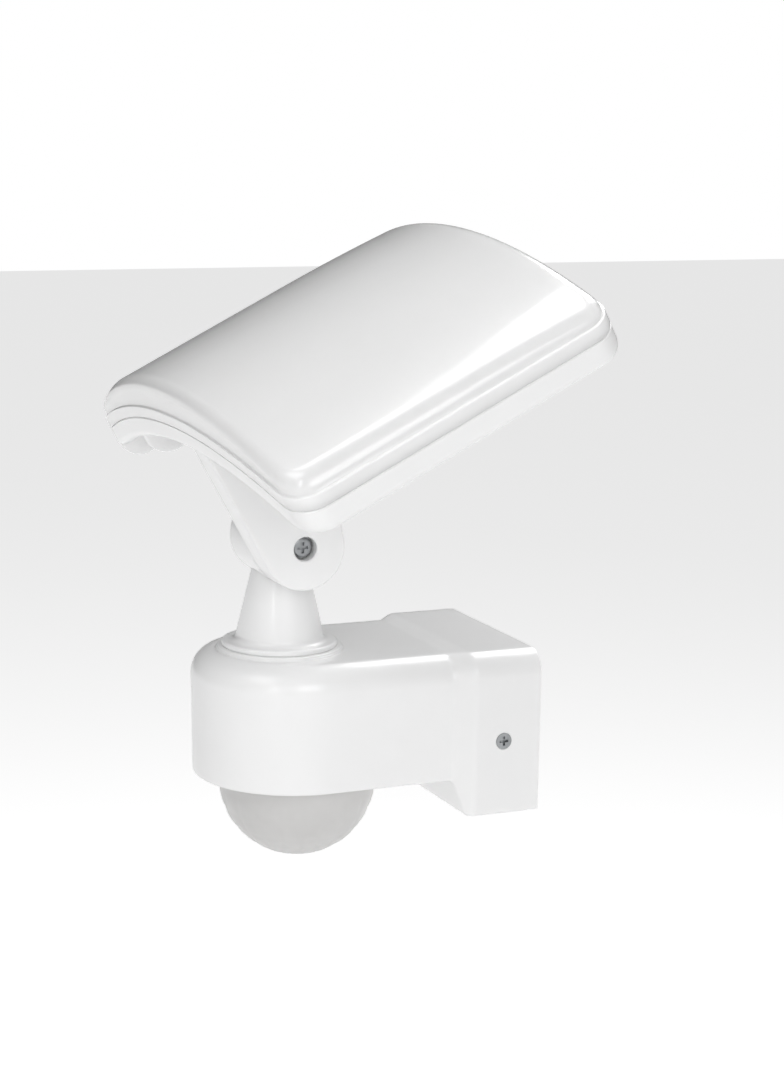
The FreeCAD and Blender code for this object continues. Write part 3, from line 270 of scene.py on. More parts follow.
def lathe(points: Sequence[tuple[float, float]], steps: int, axis: str, centre: Vector) -> Skin:
    """Turns an outline about an axis into a closed skin.

    Args:
        points: Radius and height, from one pole or inner edge round to the other.
        steps: Number of steps round the axis.
        axis: "X" or "Z".
        centre: Point on the axis from which the heights are measured, in millimetres.

    Returns:
        The skin.
    """
    angles = np.linspace(0, 2 * math.pi, steps, endpoint=False)
    radius = np.array([p[0] for p in points])[:, None]
    height = np.array([p[1] for p in points])[:, None] + 0 * angles
    first, second = radius * np.cos(angles), radius * np.sin(angles)
    order = (first, second, height) if axis == "Z" else (height, first, second)
    skin = Skin()
    skin.rows(np.stack(order, axis=-1) + np.array(centre), True)
    return skin


def arc(centre: tuple[float, float], radius: float, start: float, end: float,
        steps: int) -> list[tuple[float, float]]:
    """Points on an arc in a plane.

    Args:
        centre: Centre of the arc.
        radius: Its radius.
        start: First angle, in degrees.
        end: Last angle, in degrees.
        steps: Number of steps between them.

    Returns:
        The points, with both ends.
    """
    angles = np.radians(np.linspace(start, end, steps + 1))
    return [(centre[0] + radius * math.cos(a), centre[1] + radius * math.sin(a)) for a in angles]


def ramp(value: np.ndarray, low: float, high: float, blend: float) -> np.ndarray:
    """Straight rise from 0 to 1 between two places, with both corners rounded.

    Args:
        value: Places to look at.
        low: Where the rise starts.
        high: Where it ends.
        blend: Half the width of each rounded corner.

    Returns:
        Share of the rise at each place.
    """
    def hinge(x: np.ndarray) -> np.ndarray:
        """Zero before the hinge, x after it, and a parabola across it."""
        return np.where(x < -blend, 0, np.where(x > blend, x, (x + blend) ** 2 / (4 * blend)))

    return (hinge(value - low) - hinge(value - high)) / (high - low)


def grow(name: str, tree: Tree, values: dict, material: Material,
         base: bpy.types.Mesh | None = None) -> Piece:
    """Runs a geometry tree once and keeps its result as a plain mesh.

    Args:
        name: Name of the piece.
        tree: Geometry tree whose inputs are all named.
        values: Input name and its value.
        material: Material of the piece, which the tree sets.
        base: Mesh that goes into the tree's Geometry input, if it has one.

    Returns:
        The piece.
    """
    piece = bpy.data.objects.new(name, base or bpy.data.meshes.new(name))
    bpy.context.scene.collection.objects.link(piece)
    modifier = piece.modifiers.new("grow", "NODES")
    modifier.node_group = tree
    sockets = {item.name: item.identifier for item in tree.interface.items_tree
               if item.item_type == "SOCKET" and item.in_out == "INPUT"}
    for key, value in {**values, "Material": material}.items():
        modifier[sockets[key]] = value
    return bake(piece)


def new_tree(name: str, inputs: dict[str, str]) -> tuple[Tree, bpy.types.Node]:
    """Starts a geometry tree with named inputs.

    Args:
        name: Name of the tree.
        inputs: Input name and the last word of its socket type.

    Returns:
        The tree and its group input node.
    """
    tree = bpy.data.node_groups.new(name, "GeometryNodeTree")
    tree.interface.new_socket("Geometry", in_out="OUTPUT", socket_type="NodeSocketGeometry")
    for key, kind in {**inputs, "Material": "Material"}.items():
        tree.interface.new_socket(key, in_out="INPUT", socket_type="NodeSocket" + kind)
    return tree, add(tree, "NodeGroupInput")


def end_tree(tree: Tree, source: bpy.types.Node, shape: Socket) -> None:
    """Ends a geometry tree in real geometry with the material set.

    Args:
        tree: The tree.
        source: Its group input node.
        shape: Geometry to hand out.
    """
    real = add(tree, "GeometryNodeRealizeInstances", {0: shape})
    dressed = add(tree, "GeometryNodeSetMaterial",
                  {"Geometry": real.outputs[0], "Material": source.outputs["Material"]})
    add(tree, "NodeGroupOutput", {0: dressed.outputs[0]})


# ---------------------------------------------------------------- finishes
class Pattern(Enum):
    """What a surface shows between its two colours."""

    MOULDED = "soft flow mottle"
    BRUSHED = "lines along one direction"
    TRACES = "copper tracks under lacquer"
    WRAP = "turns of tape or sleeve"
    FIBRE = "pressed fibres"


TRACK_EDGE = 0.09           # half the width of a track, in cells of its pattern
TRACK_SHARE = 0.8           # share of the second colour on a track
WRAP_WANDER = 0.3           # how far the turns of a wrap stray
FLOW_DETAIL = 2.0           # layers of noise in a moulded mottle,
FINE_DETAIL = 6.0           # in a brushed or a fibrous one,
GRAIN_DETAIL = 3.0          # and in the grain of every finish


@dataclass(frozen=True)
class Finish:
    """One material: what it is, its two near colours and how its surface was made."""

    name: str
    colour: str
    second: str
    roughness: float
    pattern: Pattern = Pattern.MOULDED
    pattern_mm: float = 18.0
    grain_mm: float = 0.5
    grain_depth_mm: float = 0.004
    roughness_swing: float = 0.06
    metallic: float = 0.0
    ior: float = 1.5
    subsurface: float = 0.0
    subsurface_mm: float = 2.0
    coat: float = 0.0
    coat_roughness: float = 0.1
    stretch: tuple[float, float, float] = (1.0, 1.0, 1.0)

    def pattern_value(self, tree: Tree, place: Socket) -> Socket:
        """Builds the pattern's nodes.

        Args:
            tree: Material tree.
            place: Object coordinates.

        Returns:
            Share of the second colour.
        """
        scale = 1 / (self.pattern_mm * MM)
        stretched = add(tree, "ShaderNodeMapping", {"Vector": place, "Scale": self.stretch}).outputs[0]
        if self.pattern is Pattern.TRACES:
            cells = add(tree, "ShaderNodeTexVoronoi", {"Vector": stretched, "Scale": scale},
                        feature="DISTANCE_TO_EDGE", distance="MANHATTAN").outputs["Distance"]
            track = add(tree, MATH, (cells, TRACK_EDGE), operation="LESS_THAN").outputs[0]
            return add(tree, MATH, (track, TRACK_SHARE), operation="MULTIPLY").outputs[0]
        if self.pattern is Pattern.WRAP:
            wave = add(tree, "ShaderNodeTexWave", {"Vector": stretched, "Scale": scale / (2 * math.pi),
                                                   "Distortion": WRAP_WANDER}, bands_direction="Y")
            return wave.outputs[1]
        detail = FLOW_DETAIL if self.pattern is Pattern.MOULDED else FINE_DETAIL
        noise = add(tree, "ShaderNodeTexNoise", {"Vector": stretched, "Scale": scale, "Detail": detail})
        return noise.outputs[0]

    def build(self) -> Material:
        """Makes the material.

        Returns:
            The material, with all its nodes.
        """
        material = bpy.data.materials.new(self.name)
        material.use_nodes = True
        tree = material.node_tree
        tree.nodes.clear()
        place = add(tree, "ShaderNodeTexCoord").outputs["Object"]
        share = self.pattern_value(tree, place)
        colour = add(tree, "ShaderNodeMix", {0: share, 6: linear(self.colour), 7: linear(self.second)},
                     data_type="RGBA").outputs[2]
        grain = add(tree, "ShaderNodeTexNoise",
                    {"Vector": place, "Scale": 1 / (self.grain_mm * MM), "Detail": GRAIN_DETAIL}).outputs[0]
        swing = self.roughness_swing / 2
        rough = add(tree, "ShaderNodeMapRange", {"Value": grain, "To Min": self.roughness - swing,
                                                 "To Max": self.roughness + swing}).outputs[0]
        bump = add(tree, "ShaderNodeBump", {"Height": grain, "Strength": 1.0,
                                            "Distance": self.grain_depth_mm * MM}).outputs[0]
        shader = add(tree, "ShaderNodeBsdfPrincipled", {
            "Base Color": colour, "Roughness": rough, "Normal": bump, "Metallic": self.metallic,
            "IOR": self.ior, "Subsurface Weight": self.subsurface,
            "Subsurface Scale": self.subsurface_mm * MM, "Subsurface Radius": (1.0, 1.0, 1.0),
            "Coat Weight": self.coat, "Coat Roughness": self.coat_roughness})
        add(tree, "ShaderNodeOutputMaterial", {"Surface": shader.outputs[0]})
        return material


FINISHES = {
    # ABS, injection moulded in a fine satin tool: even white with soft, wide highlights
    "white_shell": Finish("abs_satin_white", "#F3F3F3", "#EFEFEF", 0.33, subsurface=0.12,
                          subsurface_mm=1.2, coat=0.4, coat_roughness=0.13),
    # opal acrylic, injection moulded in a polished tool: milky body under a clear gloss
    "opal_diffuser": Finish("pmma_opal", "#F6F6F6", "#F2F2F2", 0.24, pattern_mm=30.0, grain_depth_mm=0.0012,
                            roughness_swing=0.03, ior=1.49, subsurface=0.7, subsurface_mm=6.0, coat=0.6,
                            coat_roughness=0.06),
    # milky polyethylene, moulded thin so that heat passes: waxy grey white, soft gloss
    "detector_lens": Finish("polyethylene_milky", "#D3D2D1", "#CBCAC9", 0.34, pattern_mm=9.0, ior=1.51,
                            subsurface=0.4, subsurface_mm=3.0, roughness_swing=0.08),
    # polypropylene, moulded for the inside: plain, a little greyer and duller than the outside
    "inner_plastic": Finish("polypropylene_natural", "#DCDCD8", "#D2D2CE", 0.5, pattern_mm=12.0),
    # closed-cell foam, die cut: matt with open specks
    "foam_rubber": Finish("foam_closed_cell", "#3A3B3D", "#2A2B2D", 0.9, pattern_mm=1.2, grain_mm=0.9,
                          grain_depth_mm=0.15),
    # silicone and nitrile rubber, compression moulded: dull, faintly bloomed grey
    "grey_rubber": Finish("rubber_grey", "#77797B", "#6B6D6F", 0.72, pattern_mm=6.0, grain_depth_mm=0.02),
    # polyamide, moulded: cream, slightly waxy
    "terminal_plastic": Finish("polyamide_cream", "#D9D2BC", "#CCC4AC", 0.45, pattern_mm=7.0),
    # zinc-plated steel, cold headed: grey blue metal with a broken sheen
    "zinc_steel": Finish("steel_zinc_plated", "#B9BBBD", "#8F9294", 0.32, Pattern.BRUSHED, 1.6, 0.35, 0.01,
                         0.2, 1.0, stretch=(1.0, 1.0, 0.25)),
    # vulcanised fibre, punched from sheet: red brown and dry
    "fibre": Finish("fibre_vulcanised", "#7A4A38", "#663B2C", 0.8, Pattern.FIBRE, 1.5, 0.3, 0.02,
                    stretch=(1.0, 0.2, 1.0)),
    # PVC, extruded over copper: smooth white sleeve
    "lead_sheath": Finish("pvc_extruded", "#E6E6E4", "#DADAD8", 0.42, pattern_mm=5.0),
    # glass-epoxy laminate under green lacquer: tracks read as lighter lines
    "circuit_board": Finish("laminate_green", "#1F5B3A", "#3B8257", 0.38, Pattern.TRACES, 5.0, coat=0.4),
    # sintered ferrite: charcoal, gritty
    "ferrite": Finish("ferrite_sintered", "#3B3B3D", "#2D2D2F", 0.6, pattern_mm=2.0, grain_mm=0.3,
                      grain_depth_mm=0.03),
    # polyester tape, wound: yellow turns with a gloss
    "winding_tape": Finish("tape_polyester", "#D9B13C", "#B98F24", 0.3, Pattern.WRAP, 1.6),
    # PVC shrink sleeve: dark blue with a seam line
    "capacitor_sleeve": Finish("sleeve_shrunk", "#22304F", "#1A2540", 0.35, Pattern.WRAP, 8.0),
    # glass-filled polyester, moulded: blue relay case with sink marks
    "relay_case": Finish("polyester_blue", "#2E6FA8", "#265F92", 0.4, pattern_mm=5.0),
    # flame-proof polypropylene box filled with resin: ochre
    "film_case": Finish("polypropylene_ochre", "#C98B2A", "#B97E24", 0.45, pattern_mm=4.0),
    # nickel-plated steel, drawn to a can: bright and warm
    "nickel_can": Finish("steel_nickel_plated", "#C9C4B8", "#B3AEA2", 0.22, Pattern.BRUSHED, 0.8, 0.3,
                         0.004, 0.1, 1.0, stretch=(1.0, 1.0, 0.15)),
    # coated silicon window: nearly black with a violet cast
    "filter_window": Finish("silicon_coated", "#2B2433", "#231E2B", 0.12, pattern_mm=2.0, coat=0.8),
    # acetal, moulded: white dial, slippery
    "dial_plastic": Finish("acetal_white", "#E3E3E1", "#D8D8D6", 0.33, pattern_mm=4.0),
    # aluminium sheet, rolled and bent: fine lines along the rolling direction
    "spreader_aluminium": Finish("aluminium_rolled", "#C6C8CA", "#AEB1B4", 0.34, Pattern.BRUSHED, 2.5, 0.5,
                                 0.006, 0.16, 1.0, stretch=(1.0, 0.05, 1.0)),
    # aluminium-core board under white solder mask: white with faint tracks
    "led_board": Finish("board_white_mask", "#ECECE8", "#DBDBD6", 0.4, Pattern.TRACES, 9.0, coat=0.3),
    # light-emitting diode packages filled with phosphor resin: amber, glossy
    "led_package": Finish("phosphor_resin", "#E9C96A", "#DDB74F", 0.25, pattern_mm=2.0, subsurface=0.3),
}


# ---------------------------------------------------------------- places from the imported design
def joint_place(name: str) -> Vector:
    """Returns a joint's place in millimetres."""
    found = [joint for joint in frame["joints"] if joint["name"] == name]
    return Vector(found[0]["pos_m"]) / MM


def corners(node: str) -> tuple[Vector, Vector]:
    """Returns a node's lowest and highest corners in millimetres."""
    low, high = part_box(node)
    return low / MM, high / MM


# ---------------------------------------------------------------- head
def rounded_rectangle(half: float, front: float, back: float, radius: float,
                      across: int, deep: int, bend: int) -> np.ndarray:
    """Plan outline of the head whose four sides always have the same numbers of points.

    Args:
        half: Half its width.
        front: Place of its front side.
        back: Place of its back side.
        radius: Corner radius.
        across: Steps along the front and the back, from the middle of one corner to the next.
        deep: Steps along the two other sides.
        bend: Steps in half a corner, counted in across and deep.

    Returns:
        Points as rows of x and y, from the middle of the left front corner, the front side first.
    """
    centres = [(-half + radius, front + radius), (half - radius, front + radius),
               (half - radius, back - radius), (-half + radius, back - radius)]
    points: list[tuple[float, float]] = []
    for side, steps in enumerate((across, deep, across, deep)):
        middle = 225 + 90 * side
        start = arc(centres[side], radius, middle, middle + 45, bend)
        end = arc(centres[(side + 1) % 4], radius, middle + 45, middle + 90, bend)
        straight = np.linspace(start[-1], end[0], steps - 2 * bend + 1)[1:-1]
        points += start + [tuple(p) for p in straight] + end[:-1]
    return np.array(points)


def patch(outline: np.ndarray, across: int, deep: int) -> np.ndarray:
    """Grid of plan points inside an outline of rounded_rectangle.

    Args:
        outline: The outline.
        across: Steps along its front.
        deep: Steps along its sides.

    Returns:
        Points as rows by columns by two.
    """
    ring = np.vstack([outline, outline[:1]])
    low, right = ring[:across + 1], ring[across:across + deep + 1]
    top, left = ring[across + deep:2 * across + deep + 1][::-1], ring[2 * across + deep:][::-1]
    u = np.linspace(0, 1, across + 1)[None, :, None]
    v = np.linspace(0, 1, deep + 1)[:, None, None]
    sides = (1 - v) * low[None] + v * top[None] + (1 - u) * left[:, None] + u * right[:, None]
    square = ((1 - u) * (1 - v) * low[0] + u * (1 - v) * low[-1] + (1 - u) * v * top[0] + u * v * top[-1])
    return sides - square


@dataclass
class Head:
    """Arched floodlight head: opal diffuser, back shell and the lug that it tilts on."""

    # the whole, from the tilt axis: its lean in degrees, then its plan
    lean: float = 27.2
    half_width: float = 95.0
    front: float = -16.8
    back: float = 103.0
    corner: float = 10.0
    least_corner: float = 1.0
    # crests and arch radii of the seam and the crown, and the crown's fall towards the back
    seam_crest: float = 52.9
    seam_arch: float = 262.0
    crown_crest: float = 67.7
    crown_arch: float = 212.0
    rear_fall: float = 1.5
    rear_start: float = 55.0
    # back shell
    band: float = 8.1
    shell_wall: float = 2.4
    shell_edge: float = 3.2
    shell_steps: int = 8
    rim_ledge: float = 4.5
    rim_play: float = 0.1
    seal_depth: float = 1.6
    # bevels on both sides of the seam
    seam_bevel: float = 0.35
    seam_lead: float = 0.04
    seam_gap: float = 0.02
    # diffuser: flange, cove in its corner and crown
    flange: float = 4.4
    flange_edge: float = 0.4
    flange_steps: int = 5
    skirt_play: float = 0.2
    step: float = 1.0
    cove: float = 0.5
    cove_end: float = 345.0
    cove_steps: int = 6
    crown_wall: float = 2.2
    crown_edge: float = 4.5
    crown_steps: int = 12
    inner_steps: int = 4
    # lug, with its two upper corners as y and z
    lug_low: float = 9.6
    lug_high: float = 22.8
    lug_radius: float = 14.1
    lug_front: tuple[float, float] = (-15.8, 46.2)
    lug_back: tuple[float, float] = (26.0, 46.2)
    lug_steps: int = 48
    lug_bevel: float = 0.9
    lug_bevel_steps: int = 4
    rim_angle: float = 1.2
    rim_margin: float = 0.1
    counterbore: tuple[float, float] = (4.05, 5.2)
    shank_hole: float = 2.05
    mouth_chamfer: float = 0.35
    bore_steps: int = 64
    # fillet round the lug's root
    root_radius: float = 2.6
    root_steps: int = 7
    root_tuck: float = 0.7
    root_front: float = 4.0
    root_back: float = 0.6
    root_turn: float = 1.6
    root_turn_steps: int = 6
    root_side_steps: int = 11
    root_slope: float = 0.26
    # feet, each as x, y, radius and how far its edge hangs below the shell
    feet: tuple[tuple[float, ...], ...] = ((-86.3, -8.1, 7.9, -1.6), (-64.0, -3.4, 8.7, 2.2))
    foot_tuck: float = 1.2
    foot_least: float = 0.2
    foot_steps: tuple[int, int] = (48, 14)
    # screw wells, with their radius and depth
    screw_x: float = 87.0
    screw_rows: tuple[float, ...] = (-2.0, 43.3, 88.7)
    screw_well: tuple[float, float] = (3.0, 2.6)
    well_reach: float = 8.0
    well_steps: int = 40
    # steps across, deep and round half a corner of the plan
    across: int = 84
    deep: int = 48
    bend: int = 7

    def place(self) -> Matrix:
        """Returns what carries the flat head to its place, in millimetres."""
        tilt = joint_place("tilt")
        axis = Vector((0.0, tilt.y, tilt.z))
        return Matrix.Translation(axis) @ Matrix.Rotation(math.radians(self.lean), 4, "X")

    def seam(self, offset: float) -> Height:
        """Returns the height of a surface parallel to the seam, as a function of x and y."""
        radius = self.seam_arch + offset
        return lambda x, y=0.0: self.seam_crest - self.seam_arch + np.sqrt(radius ** 2 - x ** 2)

    def crown(self, drop: float) -> Height:
        """Makes the height function of the diffuser's top.

        Args:
            drop: How far below the top the surface lies.

        Returns:
            Its height as a function of x and y.
        """
        radius = self.crown_arch - drop
        reach = self.back - self.rear_start

        def height(x: np.ndarray, y: np.ndarray) -> np.ndarray:
            """An arch that falls off a little towards the back."""
            fall = self.rear_fall * np.clip((y - self.rear_start) / reach, 0, 1) ** 2
            return self.crown_crest - self.crown_arch + np.sqrt(radius ** 2 - x ** 2) - fall

        return height

    def outline(self, inset: float) -> np.ndarray:
        """Returns the head's plan outline, drawn in by inset."""
        corner = max(self.corner - inset, self.least_corner)
        return rounded_rectangle(self.half_width - inset, self.front + inset, self.back - inset,
                                 corner, self.across, self.deep, self.bend)

    def lofted(self, name: str, levels: Sequence[tuple[float, Height, float]], material: Material) -> Piece:
        """Closed skin through a run of outlines, with an arched face at each end.

        Args:
            name: Name of the piece.
            levels: For each outline its inset, its height function and what is added to the height.
            material: Its material.

        Returns:
            The piece.
        """
        rings = []
        for inset, height, rise in levels:
            plan = self.outline(inset)
            rings.append(np.column_stack([plan, height(plan[:, 0], plan[:, 1]) + rise]))
        skin = Skin()
        skin.rows(np.stack(rings), True)
        for inset, height, rise in (levels[0], levels[-1]):
            plan = patch(self.outline(inset), self.across, self.deep)
            skin.rows(np.dstack([plan, height(plan[..., 0], plan[..., 1]) + rise]), False)
        return skin.piece(name, self.place(), material)

    def edge(self, inset: float, radius: float, height: Height, sign: float,
             steps: int) -> list[tuple[float, Height, float]]:
        """Levels that round the edge between an upright side and an arched face.

        Args:
            inset: Inset of the upright side.
            radius: Radius of the edge.
            height: Height of the arched face.
            sign: 1 where the face is above the side, -1 where it is below.
            steps: Steps round the edge.

        Returns:
            The levels, from the side to the face.
        """
        turns = np.radians(np.linspace(0, 90, steps + 1))
        return [(inset + radius * (1 - math.cos(t)), height, -sign * radius * (1 - math.sin(t)))
                for t in turns]

    def diffuser(self, material: Material) -> Piece:
        """Builds the opal cover: a flange round the seam and a hollow crown stepped in from it.

        Args:
            material: Its material.

        Returns:
            The piece.
        """
        seam, ledge = self.seam(0.0), self.seam(self.flange)
        bevel = self.seam_bevel
        inner, inner_edge = self.step + self.crown_wall, self.crown_edge - self.crown_wall
        skirt = self.rim_ledge - self.skirt_play
        levels = self.edge(inner, inner_edge, self.crown(self.crown_wall), 1, self.inner_steps)[::-1]
        levels += [(inner, ledge, 0.0), (skirt, ledge, 0.0), (skirt, seam, 0.0),
                   (bevel * 2, seam, 0.0), (bevel, seam, self.seam_lead), (0.0, seam, bevel)]
        levels += self.edge(0.0, self.flange_edge, ledge, 1, self.flange_steps)
        levels += [(self.flange_edge + x, ledge, z)
                   for x, z in arc((0.0, self.cove), self.cove, 270, self.cove_end, self.cove_steps)[1:]]
        levels += self.edge(self.step, self.crown_edge, self.crown(0.0), 1, self.crown_steps)
        return self.lofted("diffuser_cover", levels, material)

    def shell(self, material: Material) -> Piece:
        """Builds the back shell's tray: floor, band, rim and the ledge for the seal.

        Args:
            material: Its material.

        Returns:
            The piece.
        """
        seam, under = self.seam(0.0), self.seam(-self.band)
        floor, ledge = self.seam(self.shell_wall - self.band), self.seam(-self.seal_depth)
        wall, bevel, gap = self.shell_wall + self.rim_play, self.seam_bevel, self.seam_gap
        levels = [(self.rim_ledge, floor, 0.0), (self.rim_ledge, ledge, 0.0), (wall, ledge, 0.0),
                  (wall, seam, -gap), (bevel * 2, seam, -gap), (bevel, seam, -gap - self.seam_lead),
                  (0.0, seam, -bevel)]
        levels += self.edge(0.0, self.shell_edge, under, -1, self.shell_steps)
        return self.lofted("back_shell", levels, material)

    def lug_outline(self) -> list[tuple[float, float]]:
        """Works out the side outline of the lug.

        Returns:
            Points as y and z: front line, round foot, back line.
        """
        def tangent(corner: tuple[float, float], side: int) -> float:
            """Angle, in degrees, at which the line from a corner touches the round foot."""
            heading = math.atan2(corner[1], corner[0])
            return math.degrees(heading + side * math.acos(self.lug_radius / math.hypot(*corner)))

        first, last = tangent(self.lug_front, 1), tangent(self.lug_back, -1) + 360
        foot = arc((0, 0), self.lug_radius, first, last, self.lug_steps)
        return [self.lug_front] + foot + [self.lug_back]

    def lug(self, material: Material) -> Piece:
        """Builds the lug: a thick plate with softened edges, bored for the pivot screw.

        Args:
            material: Its material.

        Returns:
            The piece.
        """
        work = bmesh.new()
        face = work.faces.new([work.verts.new((self.lug_low, y, z)) for y, z in self.lug_outline()])
        side = bmesh.ops.extrude_face_region(work, geom=[face])
        moved = [item for item in side["geom"] if isinstance(item, bmesh.types.BMVert)]
        bmesh.ops.translate(work, verts=moved, vec=(self.lug_high - self.lug_low, 0, 0))
        bmesh.ops.recalc_face_normals(work, faces=work.faces)
        root = self.lug_front[1] - self.rim_margin
        rims = [edge for edge in work.edges if edge.calc_face_angle(0) > self.rim_angle and
                min(v.co.z for v in edge.verts) < root]
        bmesh.ops.bevel(work, geom=rims, offset=self.lug_bevel, segments=self.lug_bevel_steps,
                        profile=0.5, affect="EDGES")
        work.transform(Matrix.Scale(MM, 4) @ self.place())
        mesh = bpy.data.meshes.new("lug")
        work.to_mesh(mesh)
        work.free()
        piece = link("lug", mesh, material)
        radius, depth = self.counterbore
        hole, chamfer = self.shank_hole, self.mouth_chamfer
        start, floor, mouth = self.lug_low - OVER, self.lug_high - depth, self.lug_high + OVER
        bore = [(0.0, start), (hole, start), (hole, floor), (radius, floor),
                (radius, self.lug_high - chamfer), (radius + chamfer + OVER, mouth), (0.0, mouth)]
        cutter = lathe(bore, self.bore_steps, "X", Vector((0, 0, 0)))
        return cut_out(piece, cutter.piece("bore", self.place(), material))

    def root(self, material: Material) -> Piece:
        """Builds the hollow fillet that runs round the lug's root, under the shell.

        Args:
            material: Its material.

        Returns:
            The piece, which reaches into both the lug and the shell.
        """
        under = self.seam(-self.band)
        radius, tuck, turn = self.root_radius, self.root_tuck, self.root_turn
        start, end = self.front + self.root_front, self.lug_back[0] - self.root_back - turn
        side = np.linspace(start, end, self.root_side_steps + 1)
        # places round the lug as x and y, each with the direction that faces away from it
        path = [(self.lug_high, y, 1.0, 0.0) for y in side]
        for middle, first in ((self.lug_high - turn, 0), (self.lug_low + turn, 90)):
            for away in arc((0, 0), 1.0, first, first + 90, self.root_turn_steps):
                path.append((middle + turn * away[0], end + turn * away[1], *away))
        path += [(self.lug_low, y, -1.0, 0.0) for y in side[::-1]]
        section = [(radius + x, radius + d) for x, d in arc((0, 0), radius, 180, 270, self.root_steps)]
        section += [(radius, -tuck), (-tuck, -tuck), (-tuck, radius)]
        rows = []
        for x, y, out_x, out_y in path:
            row = []
            for out, down in section:
                at_x = x + out_x * out
                at_y = y + out_y * (out - self.root_slope * down)
                row.append((at_x, at_y, float(under(np.array(at_x))) - down))
            rows.append(row)
        skin = Skin()
        skin.rows(np.array(rows), True)
        for row in (rows[0], rows[-1]):
            middle = np.mean(row, axis=0)
            skin.rows(np.stack([np.array(row), np.tile(middle, (len(row), 1))]), True)
        return skin.piece("lug_root", self.place(), material)

    def round_feet(self, material: Material) -> list[Piece]:
        """Builds the round feet under the front of the shell.

        Args:
            material: Their material.

        Returns:
            The feet, which reach into the shell.
        """
        made = []
        under = self.seam(-self.band)
        around, up = self.foot_steps
        turns = np.linspace(0, 2 * math.pi, around, endpoint=False)
        for x, y, radius, drop in self.feet:
            centre = float(under(np.array(x))) - drop
            rows = [np.column_stack([x + r * np.cos(turns), y + r * np.sin(turns), 0 * turns + centre + z])
                    for r, z in arc((0, 0), radius, -90, 0, up)]
            roof = rows[-1].copy()
            roof[:, 2] = np.maximum(under(roof[:, 0]) + self.foot_tuck, centre + self.foot_least)
            middle = np.tile(roof.mean(axis=0), (around, 1))
            skin = Skin()
            skin.rows(np.stack(rows + [roof, middle]), True)
            made.append(skin.piece("foot", self.place(), material))
        return made

    def wells(self, material: Material) -> list[Piece]:
        """Builds the cutters for the screw wells in the shell's underside.

        Args:
            material: Material of the wells' walls.

        Returns:
            The cutters.
        """
        radius, depth = self.screw_well
        outline = [(0.0, -self.well_reach), (radius, -self.well_reach), (radius, depth), (0.0, depth)]
        made = []
        for x in (-self.screw_x, self.screw_x):
            floor = float(self.seam(-self.band)(np.array(x)))
            for y in self.screw_rows:
                skin = lathe(outline, self.well_steps, "Z", Vector((x, y, floor)))
                made.append(skin.piece("well", self.place(), material))
        return made

    def build(self, made: dict[str, Material]) -> list[Piece]:
        """Builds the head's pieces and hands them to the tilting body.

        Args:
            made: Materials by the name of their slot.

        Returns:
            The diffuser and the back shell.
        """
        white = made["white_shell"]
        cover = self.diffuser(made["opal_diffuser"])
        tray = self.shell(white)
        for cutter in self.wells(white):
            cut_out(tray, cutter)
        for other in [self.lug(white), self.root(white)] + self.round_feet(white):
            join(tray, other)
        for piece, node, slot in ((cover, "diffuser", "opal_diffuser"),
                                  (tray, "head_shell", "white_shell")):
            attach(piece, "head")
            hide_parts(node)
        return [cover, tray]


